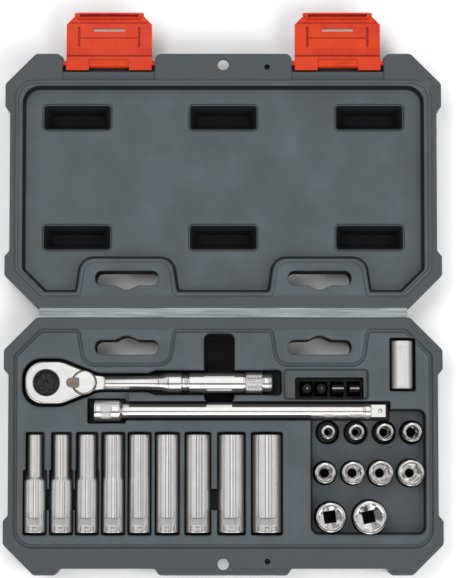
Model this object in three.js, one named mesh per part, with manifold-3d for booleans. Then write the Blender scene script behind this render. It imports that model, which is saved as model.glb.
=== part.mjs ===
// A quarter-inch-drive socket wrench set in a two-part blow-moulded case, in millimetres, +Z up.
// The case lies open: the base is centred on the origin and the lid lies behind it, along +Y.
import * as THREE from "three";
import { mergeVertices } from "three/addons/utils/BufferGeometryUtils.js";
import Module from "manifold-3d";

const wasm = await Module();
wasm.setup();

// Case: both halves share one outline. A half is drawn about its own centre, front edge at -Y.
const halfWidth = 114.5; // from the centre to the outside of a corner bumper
const bumperProud = 2.5;
const bumperRamp = 3;
const frontBumper = 12;
const rearBumper = 10;
const frontChamfer = 16;
const rearChamfer = 17;
const halfDepth = 134;
const halfHeight = 25;
const footInset = 2;
const footHeight = 3;
const hingeGap = 5; // between the two halves when they lie open
const partingGap = 0.5; // between the two rims when the case is shut
const hingeStripHeight = 0.8;
const touchGap = 0.3; // between pieces that rest against each other
const frontEdge = -halfDepth / 2;
const rearEdge = halfDepth / 2;
const hingeY = rearEdge + hingeGap / 2;
const overcut = 1; // how far a cutting shape runs past the face it opens

// Rim: a bead on the lid sits in a groove of the base.
const beadInset = 7.5; // from the outside of the bumpers to the middle of the bead
const beadWidth = 2.3;
const beadHeight = 1.2;
const grooveSlack = 0.5;
const beadRearInset = 7;
const beadFrontInset = 15.8;

// Hang slots, with the pads round them that stay at rim height.
const slotX = 50.4;
const slotWidth = 33;
const slotDepth = 7.6;
const slotRear = 15.6; // from the rear edge to the middle of the slot
const slotBumpWidth = 10;
const slotBumpHeight = 2;
const padFootWidth = 52;
const padTopWidth = 45;
const padDepth = 25;

// The thin flange between the latches, hollowed from below for a thumb, with its tag hole.
const thumbHalfWidth = 30;
const thumbDepth = 10.5;
const flangeHeight = 5.5;
const tagHoleRadius = 3;
const tagHoleFront = 5.7;
const needleHoleRadius = 1.5;
const needleHoleX = 23;
const needleHoleFront = 7.2;
const needleHoleDepth = 3;

// Latches: one moulding each, on trunnions in the lid's cheeks.
const latchX = 60.2;
const latchWidth = 45;
const latchSlack = 1.75; // between a latch and each cheek
const latchReach = 27; // from the pivot to the tip
const latchBack = 3.8; // from the pivot to the back of the side tabs
const latchTipChamfer = 6;
const latchPivotFront = 4.7; // from the lid's front edge to the pivot
const latchPivotDrop = 3.2; // from the rim down to the pivot
const latchFaceDrop = 1.6; // from the pivot down to the plate's inside face
const latchPlate = 2.4;
const latchBarrelRadius = 2.6;
const latchBarrelWidth = 20.5;
const hookLength = 3.5;
const hookHeight = 2.2;
const trunnionRadius = 1.6;
const trunnionLength = 3.7;
const trunnionSlack = 0.09;
const ledgeSlack = 0.6;
const ledgeDepth = 14;
const ledgeDrop = 1.2; // of the ledge's shallow rear part below the rim
const swingDepth = 9.6; // from the lid's front edge, for the latch to swing in
const ledgeSetback = 4;
const notchDepth = 3.4;
const notchSlack = 2.25; // between a shut latch and each end of its notch
const catchDepth = 2.6;
const catchSlack = 0.3;
const pivotZ = halfHeight - latchPivotDrop;
const pivotY = frontEdge + latchPivotFront;

// Lid: a recessed panel with six deep stiffening dimples.
const panelSide = 10;
const panelFront = 17.8;
const panelRear = 9.1;
const panelDepth = 6.5;
const panelCornerRadius = 9;
const dimpleColumns = 77;
const dimpleRows = [-34.1, 29.5];
const dimpleWidth = 36.1;
const dimpleLength = 13.7;
const dimpleDraft = 4;
const dimpleFloor = 4;

// Drive and sockets.
const driveSquare = 6.35;
const driveSlack = 0.15;
const driveDepth = 8.5;
const tangLength = 7.4;
const inch = 25.4;
const socketWall = 1.25;
const driveEndWall = 1.11; // outside the corners of the square hole
const driveEndRadius = driveSquare * Math.SQRT1_2 + driveEndWall;
const shortEndLength = 9;
const deepEndLength = 26.5;
const socketTaper = 2;
const deepLength = 50.8;
const shortLength = 25;
const hexDepth = 14;
const coreShare = 0.38; // of a socket's size, the radius of the bore behind its hexagon
const coreRadius = 2.3; // at most; the two largest sizes have no core
const socketSides = 18;
const pocketSlack = 0.65; // between a tool and each wall of its pocket
const deepProud = 3; // of each deep socket above the rim
const dividerDrop = 1.5; // of the dividers between the deep sockets, below the rim
const fractions = {
  "5_32": 5 / 32,
  "3_16": 3 / 16,
  "7_32": 7 / 32,
  "1_4": 1 / 4,
  "9_32": 9 / 32,
  "5_16": 5 / 16,
  "11_32": 11 / 32,
  "3_8": 3 / 8,
  "7_16": 7 / 16,
  "1_2": 1 / 2,
};
const sizes = Object.keys(fractions);

// Deep sockets lie in a row, nose to the rear; x is the middle of each.
const deepX = [-97.9, -84.2, -70.8, -57.2, -43.5, -29.1, -13.2, 4.3, 22.7];
const deepNoseY = 5.9;
const deepRearSlack = 1.3; // round each nose
const waistRun = 6; // of the wide part of a pocket past the drive end

// Short sockets stand in wells in a recessed field, nose up.
const field = { x0: 45.6, x1: 105.4, y0: -45.8, y1: 19.1, depth: 8, radius: 4 };
const shortProud = 3.6; // of each upright socket above the rim
const wellFloor = halfHeight + shortProud - shortLength - touchGap;
const wellSlack = 0.65;
const rows = [
  { y: 7.2, x: [54.5, 69.2, 84, 98.3] },
  { y: -14, x: [53, 67.5, 81.9, 97.5] },
  { y: -37, x: [55.8, 76.1] },
];
const shortPlaces = rows.flatMap((row) => row.x.map((x) => ({ x, y: row.y })));

// Ratchet: drawn about the drive axis, handle along +X, lever side up.
const ratchet = { x: -92.3, y: 33, z: halfHeight - 6.4 };
const headRadius = 11.1;
const headHalf = 5.25;
const gearRadius = 6.6;
const gearTeeth = 20;
const toothDepth = 0.7;
const gearHalf = 3.6;
const boreSlack = 0.3;
const journalRadius = driveSquare * Math.SQRT1_2 + 0.46;
const journalSlack = 0.08;
const ringHeight = 0.8;
const ringWidth = 1.1;
const ringGrooveDepth = 0.5;
const pawlX = 12.4;
const pawlHalfWidth = 4.3;
const pawlClear = 0.6;
const pawlPinRadius = 0.9;
const pinSlack = 0.06;
const leverX = 19.8;
const leverRadius = 6.2;
const leverHeight = 1.6;
const leverTabReach = 9.3;
const leverTabWidth = 5.6;
const spindleRadius = 2;
const spindleSlack = 0.07;
const channelHalf = 3.6;
const plungerRadius = 1.1;
const plungerSlack = 0.05;
const plungerEnd = 1.4; // from the lever's axis to the plunger's inner end
const springWire = 0.2;
const springRadius = 0.7;
const plungerSpringTurns = 3;
const ballSpringTurns = 1.5;
const neckRadius = 3.9;
const neckStart = 24;
const neckEnd = 59;
const gripRadius = 5.2;
const gripStart = 64;
const grooveStart = 70.5;
const grooveEnd = 74.6;
const knurlStart = 103.6;
const knurlEnd = 112.9;
const knurlRadius = 5.7;
const handleEnd = 118.2;
const ballRadius = 1.5;
const ballProud = 0.55;
const ballSlack = 0.08;
const ballFromTip = 3.2; // from the end of a drive square to its ball
const ballBoreDepth = 4.4;
const ballSpringLength = 1.3;
const ballOffset = driveSquare / 2 + ballProud - ballRadius; // from the square's axis

// Extension bar, along +X from its female end.
const extension = { x: -67.3, y: 18.3, z: halfHeight - 5.6, length: 152.4 };
const extensionEndRadius = driveEndRadius;
const extensionEndLength = 14;
const shaftRadius = 3.9;
const shaftNeck = 2.5;
const betweenDepth = 6;

// Bit holder, lying along Y, and four bits standing tip up.
const holder = { x: 93.5, y: 42.4, z: halfHeight - 5.4, length: 25, radius: 5.5 };
const holderHexDepth = 13;
const magnetRadius = 2.6;
const magnetLength = 2.5;
const bitHex = 6.35;
const bitHexSlack = 0.1;
const bitLength = 25.4;
const bitShank = 15;
const bitY = 29.9;
const bitWellWidth = 6.95;
const bitWellLength = 7.9;
const bitX = [43.6, 51.2, 59.6, 68.3];
const bitNames = ["bit_phillips_large", "bit_phillips_small", "bit_slotted_large", "bit_slotted_small"];
const bladeWidths = [6.2, 5.1];
const bladeThickness = 1;
const tray = { x0: 31.6, x1: 75.6, y0: 24.2, y1: 40, depth: 3, radius: 2 };
const traySlot = { x0: 37.6, x1: 73.2, y0: 24.2, y1: 35.7, depth: 12, radius: 1 };
const fingerWell = { x0: -10, x1: 5.9, y0: 22.7, y1: 58.5, floor: 8, radius: 3 };

const group = new THREE.Group();

const colours = {
  caseGrey: { color: 0x5a6267, roughness: 0.55, metalness: 0 },
  hingeGrey: { color: 0x8b9296, roughness: 0.4, metalness: 0 },
  latchOrange: { color: 0xd9431f, roughness: 0.35, metalness: 0 },
  chrome: { color: 0xd2d3d4, roughness: 0.15, metalness: 1 },
  darkSteel: { color: 0x3c3d3f, roughness: 0.35, metalness: 1 },
};

function solid(geometry) {
  const bare = geometry.clone();
  bare.deleteAttribute("normal");
  bare.deleteAttribute("uv");
  const merged = mergeVertices(bare, 1e-4);
  return new wasm.Manifold(
    new wasm.Mesh({
      numProp: 3,
      vertProperties: new Float32Array(merged.attributes.position.array),
      triVerts: new Uint32Array(merged.index.array),
    }),
  );
}

function geometryOf(body) {
  const mesh = body.getMesh();
  const geometry = new THREE.BufferGeometry();
  const places = new THREE.BufferAttribute(new Float32Array(mesh.vertProperties), 3);
  geometry.setAttribute("position", places);
  geometry.setIndex(new THREE.BufferAttribute(new Uint32Array(mesh.triVerts), 1));
  return geometry;
}

// Corners are [x, y, radius]; each becomes an arc of `steps` spans where its radius isn't 0.
function rounded(corners, steps = 4) {
  return corners.flatMap(([x, y, radius = 0], i) => {
    if (radius === 0) return [[x, y]];
    const [px, py] = corners[(i + corners.length - 1) % corners.length];
    const [nx, ny] = corners[(i + 1) % corners.length];
    const back = new THREE.Vector2(px - x, py - y);
    const ahead = new THREE.Vector2(nx - x, ny - y);
    const reach = Math.min(back.length(), ahead.length()) * 0.49;
    const half = Math.acos(THREE.MathUtils.clamp(back.normalize().dot(ahead.normalize()), -1, 1)) / 2;
    const run = Math.min(radius / Math.tan(half), reach);
    const r = run * Math.tan(half);
    const middle = back.clone().add(ahead).normalize().multiplyScalar(r / Math.sin(half));
    const centre = new THREE.Vector2(x, y).add(middle);
    const from = new THREE.Vector2(x, y).addScaledVector(back, run).sub(centre);
    const to = new THREE.Vector2(x, y).addScaledVector(ahead, run).sub(centre);
    const turn = Math.atan2(from.cross(to), from.dot(to));
    return Array.from({ length: steps + 1 }, (_, k) => {
      const p = from.clone().rotateAround(new THREE.Vector2(), (turn * k) / steps).add(centre);
      return [p.x, p.y];
    });
  });
}

// A solid through rings of equally many points, each { points, z }, from the bottom up.
function stack(rings) {
  const count = rings[0].points.length;
  const places = rings.flatMap(({ points, z }) => points.flatMap(([x, y]) => [x, y, z]));
  const cap = THREE.ShapeUtils.triangulateShape(
    rings[0].points.map(([x, y]) => new THREE.Vector2(x, y)),
    [],
  );
  const last = (rings.length - 1) * count;
  const faces = cap.flatMap(([a, b, c]) => [c, b, a, last + a, last + b, last + c]);
  for (let level = 0; level < rings.length - 1; level += 1) {
    for (let i = 0; i < count; i += 1) {
      const a = level * count + i;
      const b = level * count + ((i + 1) % count);
      faces.push(a, b, b + count, a, b + count, a + count);
    }
  }
  const geometry = new THREE.BufferGeometry();
  geometry.setAttribute("position", new THREE.Float32BufferAttribute(places, 3));
  geometry.setIndex(faces);
  return solid(geometry);
}

function prism(points, z0, z1) {
  return stack([
    { points, z: z0 },
    { points, z: z1 },
  ]);
}

function rectangle(x0, x1, y0, y1, radius = 0, steps = 4) {
  return rounded(
    [
      [x0, y0, radius],
      [x1, y0, radius],
      [x1, y1, radius],
      [x0, y1, radius],
    ],
    steps,
  );
}

function box(x0, x1, y0, y1, z0, z1) {
  return prism(rectangle(x0, x1, y0, y1), z0, z1);
}

function circle(x, y, radius, sides = socketSides, turn = 0) {
  return Array.from({ length: sides }, (_, i) => {
    const angle = turn + (2 * Math.PI * i) / sides;
    return [x + radius * Math.cos(angle), y + radius * Math.sin(angle)];
  });
}

// A hexagon of a given size across its flats, flats facing along X.
function hexagon(acrossFlats) {
  return circle(0, 0, acrossFlats / Math.sqrt(3), 6, Math.PI / 6);
}

function square(side) {
  return rectangle(-side / 2, side / 2, -side / 2, side / 2);
}

// A turned solid about Z from [radius, z] pairs that run up its outside.
function turned(profile, sides = socketSides) {
  const points = profile.map(([r, z]) => new THREE.Vector2(r, z));
  const low = new THREE.Vector2(0, profile[0][1]);
  const high = new THREE.Vector2(0, profile[profile.length - 1][1]);
  return solid(new THREE.LatheGeometry([low, ...points, high], sides).rotateX(Math.PI / 2));
}

// Turns a solid drawn along Z so that it lies along +X.
function alongX(body) {
  return body.rotate([0, 90, 0]);
}

function ball(radius) {
  return solid(new THREE.SphereGeometry(radius, 12, 8));
}

function add(name, body, colour, place = [0, 0, 0], parent = group) {
  const mesh = new THREE.Mesh(geometryOf(body), new THREE.MeshStandardMaterial(colours[colour]));
  mesh.name = name;
  mesh.position.set(...place);
  parent.add(mesh);
  return mesh;
}

// One half's outline, inset all round, with the corner bumpers.
function halfOutline(inset) {
  const out = halfWidth - inset;
  const side = out - bumperProud;
  const front = frontEdge + inset;
  const rear = rearEdge - inset;
  const shift = inset * (2 - Math.SQRT2);
  const frontCut = frontChamfer - shift;
  const rearCut = rearChamfer - shift;
  const frontBump = frontEdge + frontChamfer + frontBumper;
  const rearBump = rearEdge - rearChamfer - rearBumper;
  const right = [
    [out - frontCut, front, 3],
    [out, front + frontCut, 2],
    [out, frontBump, 1],
    [side, frontBump + bumperRamp, 1],
    [side, rearBump - bumperRamp, 1],
    [out, rearBump, 1],
    [out, rear - rearCut, 2],
    [out - rearCut, rear, 3],
  ];
  const left = right.map(([x, y, r]) => [-x, y, r]).reverse();
  return rounded([...right, ...left], 2);
}

function halfBlank() {
  return stack([
    { points: halfOutline(footInset), z: 0 },
    { points: halfOutline(0), z: footHeight },
    { points: halfOutline(0), z: halfHeight },
  ]);
}

// The region inside the rim: chamfered at the hinge, rounded at the front.
function innerOutline(side, front, rear, radius) {
  const x = halfWidth - side;
  const y = rearEdge - rear;
  const cut = rearChamfer - (side + rear) * (1 - Math.SQRT1_2);
  return rounded([
    [-x, frontEdge + front, radius],
    [x, frontEdge + front, radius],
    [x, y - cut, 2],
    [x - cut, y, 2],
    [-x + cut, y, 2],
    [-x, y - cut, 2],
  ]);
}

// The pads round the hang slots, grown sideways and to the front.
function pads(grow, z0, z1) {
  const foot = padFootWidth / 2 + grow;
  const top = padTopWidth / 2 + grow;
  const front = rearEdge - padDepth - grow;
  const both = [-slotX, slotX].map((x) =>
    prism(
      rounded([
        [x - top, front, 7],
        [x + top, front, 7],
        [x + foot, rearEdge + overcut],
        [x - foot, rearEdge + overcut],
      ]),
      z0,
      z1,
    ),
  );
  return both[0].add(both[1]);
}

// The bead's ring, widened by `slack` on both sides.
function rimRing(slack, z0, z1) {
  const half = beadWidth / 2 + slack;
  const region = (offset) =>
    prism(
      innerOutline(beadInset + offset, beadFrontInset + offset, beadRearInset + offset, 9 - offset),
      z0,
      z1,
    ).subtract(pads(offset, z0 - overcut, z1 + overcut));
  return region(-half).subtract(region(half));
}

// Holes that both halves share, so that they line up when the case is shut.
function sharedHoles() {
  const y = rearEdge - slotRear;
  const slotOutline = (x) =>
    rounded(
      [
        [x - slotWidth / 2, y - slotDepth / 2, 3.4],
        [x + slotWidth / 2, y - slotDepth / 2, 3.4],
        [x + slotWidth / 2, y + slotDepth / 2, 3.4],
        [x + slotBumpWidth / 2, y + slotDepth / 2, 1.5],
        [x + 1.5, y + slotDepth / 2 + slotBumpHeight, 1.5],
        [x - 1.5, y + slotDepth / 2 + slotBumpHeight, 1.5],
        [x - slotBumpWidth / 2, y + slotDepth / 2, 1.5],
        [x - slotWidth / 2, y + slotDepth / 2, 3.4],
      ],
      3,
    );
  const low = -overcut;
  const high = halfHeight + overcut;
  const thumbFront = frontEdge - overcut;
  const thumbRear = frontEdge + thumbDepth;
  const thumb = rectangle(-thumbHalfWidth, thumbHalfWidth, thumbFront, thumbRear, 2);
  return prism(slotOutline(-slotX), low, high)
    .add(prism(slotOutline(slotX), low, high))
    .add(prism(thumb, low, halfHeight - flangeHeight))
    .add(prism(circle(0, frontEdge + tagHoleFront, tagHoleRadius), low, high));
}

function needleHole(x) {
  const outline = circle(x, frontEdge + needleHoleFront, needleHoleRadius, 12);
  return prism(outline, halfHeight - needleHoleDepth, halfHeight + overcut);
}

function pocket(area, floor, top = halfHeight) {
  return prism(rectangle(area.x0, area.x1, area.y0, area.y1, area.radius), floor, top + overcut);
}

function hexSize(size) {
  return fractions[size] * inch;
}

function noseRadius(size) {
  return hexSize(size) / Math.sqrt(3) + socketWall;
}

function endRadius(size) {
  return Math.max(noseRadius(size), driveEndRadius);
}

// A socket standing on its drive end at z = 0, nose up.
function socket(size, length, endLength) {
  const nose = noseRadius(size);
  const end = endRadius(size);
  const stepped = [
    [end, 0],
    [end, endLength],
    [nose, endLength + socketTaper],
    [nose, length],
  ];
  const plain = [
    [nose, 0],
    [nose, length],
  ];
  const outside = turned(end > nose ? stepped : plain);
  const hex = hexagon(hexSize(size));
  const hexFloor = length - hexDepth;
  const wide = hexSize(size) / 2 > driveSquare * Math.SQRT1_2 + driveSlack + 0.2;
  const driveEnd = wide ? hexFloor + overcut : driveDepth;
  const core = circle(0, 0, Math.min(hexSize(size) * coreShare, coreRadius), 12);
  return outside
    .subtract(prism(hex, hexFloor, length + overcut))
    .subtract(prism(core, driveDepth - overcut, hexFloor + overcut))
    .subtract(prism(square(driveSquare + driveSlack), -overcut, driveEnd));
}

function deepAxisZ(size) {
  return halfHeight + deepProud - endRadius(size);
}

function deepPockets() {
  const bodies = deepX.map((x, i) => {
    const size = sizes[i];
    const half = endRadius(size) + pocketSlack;
    const floor = deepAxisZ(size) - endRadius(size) - touchGap;
    const rear = deepNoseY + deepRearSlack;
    const front = deepNoseY - deepLength - 2 * pocketSlack;
    const waist = deepNoseY - deepLength + deepEndLength + waistRun;
    const slim = noseRadius(size) + deepRearSlack;
    const noseHalf = Math.min(slim, half);
    return pocket({ x0: x - half, x1: x + half, y0: front, y1: waist, radius: 1 }, floor).add(
      pocket({ x0: x - noseHalf, x1: x + noseHalf, y0: front, y1: rear, radius: 1 }, floor),
    );
  });
  const last = deepX.length - 1;
  const dividers = {
    x0: deepX[0],
    x1: deepX[last],
    y0: deepNoseY - deepLength,
    y1: deepNoseY - deepLength + deepEndLength + waistRun,
    radius: 1,
  };
  return bodies.reduce((all, one) => all.add(one), pocket(dividers, halfHeight - dividerDrop));
}

function shortWells() {
  const bodies = shortPlaces.map(({ x, y }, i) =>
    prism(circle(x, y, endRadius(sizes[i]) + wellSlack), wellFloor, halfHeight),
  );
  return bodies.reduce((all, one) => all.add(one), pocket(field, halfHeight - field.depth));
}

function bitWells() {
  const bodies = bitX.map((x) =>
    box(
      x - bitWellWidth / 2,
      x + bitWellWidth / 2,
      bitY - bitWellLength / 2,
      bitY + bitWellLength / 2,
      wellFloor,
      halfHeight,
    ),
  );
  const frame = pocket(tray, halfHeight - tray.depth).add(
    pocket(traySlot, halfHeight - traySlot.depth),
  );
  return bodies.reduce((all, one) => all.add(one), frame);
}

function ratchetPocket() {
  const { x, y, z } = ratchet;
  const head = headRadius + 1.5;
  const neck = neckRadius + 1.1;
  const shaft = knurlRadius + 0.8;
  const end = x + handleEnd + 4.5;
  const outline = rounded([
    [x - head, y - head, head],
    [x + 8, y - head, 14],
    [x + 27, y - neck, 10],
    [x + neckEnd - 6, y - neck, 3],
    [x + neckEnd - 2, y - shaft, 3],
    [end, y - shaft, 2],
    [end, y + shaft, 2],
    [x + neckEnd - 2, y + shaft, 3],
    [x + neckEnd - 6, y + neck, 3],
    [x + 27, y + neck, 10],
    [x + 8, y + head, 14],
    [x - head, y + head, head],
  ]);
  const floor = z - knurlRadius - touchGap;
  const tangFloor = z - headHalf - tangLength - touchGap;
  return prism(outline, floor, halfHeight + overcut).add(
    prism(circle(x, y, driveSquare), tangFloor, halfHeight),
  );
}

function extensionPocket() {
  const { x, y, z, length } = extension;
  const shaft = shaftRadius + 1.1;
  const end = extensionEndRadius + 1;
  const shaftArea = { x0: x, x1: x + length + 2, y0: y - shaft, y1: y + shaft, radius: 1 };
  const endArea = {
    x0: x - 3.4,
    x1: x + extensionEndLength + 2.6,
    y0: y - end,
    y1: y + end,
    radius: 1,
  };
  // shallow, between the two long tools, for lifting them out
  const between = { ...endArea, x1: endArea.x1 + 1.5, y1: ratchet.y - neckRadius };
  return pocket(shaftArea, z - shaftRadius - touchGap - 0.5)
    .add(pocket(endArea, z - extensionEndRadius - touchGap))
    .add(pocket(between, halfHeight - betweenDepth));
}

function holderPocket() {
  const { x, y, z, length, radius } = holder;
  const half = radius + 1.4;
  const run = length / 2 + 1.4;
  return pocket(
    { x0: x - half, x1: x + half, y0: y - run, y1: y + run, radius: 1 },
    z - radius - touchGap,
  );
}

// A notch in the base's front for each shut latch, with a ledge that the hook holds.
function latchNotches() {
  const half = latchWidth / 2 + notchSlack;
  const hookZ = halfHeight + partingGap + latchPivotDrop - (latchReach - hookLength);
  const bodies = [-latchX, latchX].map((x) => {
    const notch = prism(
      [
        [x - half - notchDepth, frontEdge - overcut],
        [x + half + notchDepth, frontEdge - overcut],
        [x + half + notchDepth, frontEdge],
        [x + half, frontEdge + notchDepth],
        [x - half, frontEdge + notchDepth],
        [x - half - notchDepth, frontEdge],
      ],
      -overcut,
      halfHeight + overcut,
    );
    const under = box(
      x - half,
      x + half,
      frontEdge,
      frontEdge + notchDepth + catchDepth,
      -overcut,
      hookZ + catchSlack,
    );
    return notch.add(under);
  });
  return bodies[0].add(bodies[1]);
}

function caseBase() {
  return halfBlank()
    .subtract(sharedHoles())
    .subtract(needleHole(needleHoleX))
    .subtract(rimRing(grooveSlack, halfHeight - beadHeight - grooveSlack, halfHeight + overcut))
    .subtract(deepPockets())
    .subtract(shortWells())
    .subtract(bitWells())
    .subtract(ratchetPocket())
    .subtract(extensionPocket())
    .subtract(holderPocket())
    .subtract(pocket(fingerWell, fingerWell.floor))
    .subtract(latchNotches());
}

// The stepped ledge that each latch turns over, with the bores for its trunnions.
function latchSeats() {
  const half = latchWidth / 2 + latchSlack;
  const floor = pivotZ - latchFaceDrop - latchPlate - ledgeSlack;
  const bore = latchWidth / 2 + trunnionLength + touchGap;
  const trunnionHole = alongX(
    prism(circle(0, 0, trunnionRadius + trunnionSlack), -bore, bore),
  ).translate([0, pivotY, pivotZ]);
  const seat = box(-half, half, frontEdge - overcut, frontEdge + swingDepth, floor, halfHeight + 1)
    .add(box(-half, half, frontEdge, frontEdge + ledgeDepth, halfHeight - ledgeDrop, halfHeight + 1))
    .add(box(-half, half, frontEdge - overcut, frontEdge + ledgeSetback, -overcut, halfHeight))
    .add(trunnionHole);
  return seat.translate([-latchX, 0, 0]).add(seat.translate([latchX, 0, 0]));
}

function dimples() {
  const outline = (x, y, inset) =>
    rectangle(
      x - dimpleWidth / 2 + inset * 1.4,
      x + dimpleWidth / 2 - inset * 1.4,
      y - dimpleLength / 2 + inset * 0.8,
      y + dimpleLength / 2 - inset * 0.8,
      2,
      3,
    );
  const bodies = dimpleRows.flatMap((y) =>
    [-dimpleColumns, 0, dimpleColumns].map((x) =>
      stack([
        { points: outline(x, y, dimpleDraft), z: dimpleFloor },
        { points: outline(x, y, 0), z: halfHeight - panelDepth },
        { points: outline(x, y, 0), z: halfHeight },
      ]),
    ),
  );
  return bodies.reduce((all, one) => all.add(one));
}

function caseLid() {
  const floor = halfHeight - panelDepth;
  const high = halfHeight + overcut;
  const panel = prism(innerOutline(panelSide, panelFront, panelRear, panelCornerRadius), floor, high)
    .subtract(pads(0, floor - overcut, high + overcut))
    .add(dimples());
  return halfBlank()
    .add(rimRing(0, halfHeight - overcut, halfHeight + beadHeight))
    .subtract(panel)
    .subtract(sharedHoles())
    .subtract(needleHole(-needleHoleX))
    .subtract(latchSeats());
}

// A latch about its pivot, tip towards -Y, inside face up.
function latch() {
  const half = latchWidth / 2;
  const face = -latchFaceDrop;
  const under = face - latchPlate;
  const tip = -latchReach;
  const plate = prism(
    [
      [-half + latchTipChamfer, tip],
      [half - latchTipChamfer, tip],
      [half, tip + latchTipChamfer],
      [half, -1],
      [-half, -1],
      [-half, tip + latchTipChamfer],
    ],
    under,
    face,
  );
  const hookHalf = half - latchTipChamfer;
  const hook = box(-hookHalf, hookHalf, tip, tip + hookLength, under, face + hookHeight);
  const tabs = box(-half, half, -2, latchBack, face - 0.8, face + 2);
  const barrel = alongX(
    prism(circle(0, 0, latchBarrelRadius), -latchBarrelWidth / 2, latchBarrelWidth / 2),
  );
  const reach = half + trunnionLength;
  const trunnions = alongX(prism(circle(0, 0, trunnionRadius), -reach, reach));
  const grooves = [-half + 6, half - 6.9].map((x) =>
    box(x, x + 0.9, tip + 7.5, -6, face - 0.8, face + overcut),
  );
  const slot = box(-8.25, 8.25, tip + 8.2, tip + 9.8, under - overcut, face + overcut);
  return plate
    .add(hook)
    .add(tabs)
    .add(barrel)
    .add(trunnions)
    .subtract(grooves[0])
    .subtract(grooves[1])
    .subtract(slot);
}

function ratchetBody() {
  const head = prism(
    rounded([
      [-headRadius, -headRadius, headRadius],
      [8, -headRadius, 14],
      [25.5, -4, 5],
      [31, -3.4, 2],
      [31, 3.4, 2],
      [25.5, 4, 5],
      [8, headRadius, 14],
      [-headRadius, headRadius, headRadius],
    ]),
    -headHalf,
    headHalf,
  );
  const handle = turned(
    [
      [neckRadius - 0.5, neckStart],
      [neckRadius, neckEnd],
      [gripRadius, gripStart],
      [gripRadius, grooveStart],
      [gripRadius - 0.9, grooveStart + 0.4],
      [gripRadius - 0.9, grooveEnd - 0.4],
      [gripRadius, grooveEnd],
      [gripRadius, knurlStart - 0.4],
      [knurlRadius, knurlStart],
      [knurlRadius, knurlEnd],
      [gripRadius - 0.6, knurlEnd + 0.4],
      [gripRadius - 0.6, handleEnd - 1],
      [gripRadius - 1.6, handleEnd],
    ],
    20,
  );
  const bore = gearRadius + boreSlack;
  const channelEnd = leverX + spindleRadius + spindleSlack;
  const ringZ = gearHalf + boreSlack;
  return head
    .add(alongX(handle))
    .subtract(prism(circle(0, 0, bore), -gearHalf - boreSlack, headHalf + overcut))
    .subtract(prism(circle(0, 0, journalRadius + journalSlack), -headHalf - overcut, 0))
    .subtract(prism(circle(0, 0, bore + ringGrooveDepth), ringZ, ringZ + ringHeight))
    .subtract(box(0, pawlX + 1.8, -pawlHalfWidth - 1, pawlHalfWidth + 1, -gearHalf, gearHalf))
    .subtract(box(pawlX, channelEnd, -channelHalf, channelHalf, -2.4, 2.4))
    .subtract(prism(circle(leverX, 0, spindleRadius + spindleSlack), -2.4, headHalf + overcut));
}

// The blind bore for a drive square's ball and spring, along +Z from inside the square.
function ballBore() {
  const outline = circle(0, 0, ballRadius + ballSlack, 16);
  return prism(outline, driveSquare / 2 - ballBoreDepth, driveSquare / 2 + overcut);
}

function driveGear() {
  const tooth = Array.from({ length: gearTeeth * 2 }, (_, i) => {
    const radius = i % 2 === 0 ? gearRadius : gearRadius - toothDepth;
    const angle = (Math.PI * i) / gearTeeth;
    return [radius * Math.cos(angle), radius * Math.sin(angle)];
  });
  const low = -headHalf - tangLength;
  const ballHole = alongX(ballBore()).translate([0, 0, low + ballFromTip]);
  return prism(tooth, -gearHalf, gearHalf)
    .add(prism(circle(0, 0, journalRadius), -headHalf, -gearHalf + 0.01))
    .add(prism(square(driveSquare), low, -headHalf + 0.01))
    .subtract(ballHole);
}

// A snap ring in its groove over the gear, open for a sixteenth of a turn.
function retainingRing() {
  const outer = gearRadius + boreSlack + ringGrooveDepth - 0.15;
  const z0 = gearHalf + boreSlack + 0.1;
  const z1 = gearHalf + boreSlack + ringHeight - 0.1;
  return prism(circle(0, 0, outer), z0, z1)
    .subtract(prism(circle(0, 0, outer - ringWidth - 0.3), z0 - overcut, z1 + overcut))
    .subtract(box(-outer - overcut, 0, -1.2, 1.2, z0 - overcut, z1 + overcut));
}

function pawl() {
  const half = gearHalf - touchGap;
  const block = box(4, pawlX + 1.2, -pawlHalfWidth, pawlHalfWidth, -half, half);
  const gearSpace = prism(circle(0, 0, gearRadius + pawlClear), -half - 1, half + 1);
  const pinHole = prism(circle(pawlX, 0, pawlPinRadius + pinSlack, 16), -half - 1, half + 1);
  return block.subtract(gearSpace).subtract(pinHole).translate([-pawlX, 0, 0]);
}

function reversingLever() {
  const low = headHalf + 0.1;
  const disc = prism(circle(0, 0, leverRadius), low, low + leverHeight);
  const tabOutline = rectangle(-leverTabReach, 0, -leverTabWidth / 2, leverTabWidth / 2, 1.4);
  const tab = prism(tabOutline, low, low + leverHeight + 0.8);
  const spindle = prism(circle(0, 0, spindleRadius), -2, low + 0.5);
  const plungerBore = prism(circle(0, 0, plungerRadius + plungerSlack, 16), -3, plungerEnd);
  return disc.add(tab).add(spindle).subtract(alongX(plungerBore));
}

function pawlPlunger() {
  const tip = leverX - pawlX - 1.2 - touchGap;
  const profile = [
    [0.5, -tip],
    [plungerRadius, -tip + 0.5],
    [plungerRadius, -plungerEnd],
  ];
  return alongX(turned(profile, 16));
}

// A compression spring along +Z from z = 0, its wire's ends included in the length.
function spring(length, turns) {
  const count = turns * 8;
  const path = new THREE.CatmullRomCurve3(
    Array.from({ length: count + 1 }, (_, i) => {
      const angle = (i * Math.PI) / 4;
      const z = springWire + (i / count) * (length - 2 * springWire);
      return new THREE.Vector3(springRadius * Math.cos(angle), springRadius * Math.sin(angle), z);
    }),
  );
  const ring = circle(0, 0, springWire, 5).map(([x, y]) => new THREE.Vector2(x, y));
  const options = { steps: count, bevelEnabled: false, extrudePath: path };
  return solid(new THREE.ExtrudeGeometry(new THREE.Shape(ring), options));
}

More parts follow.
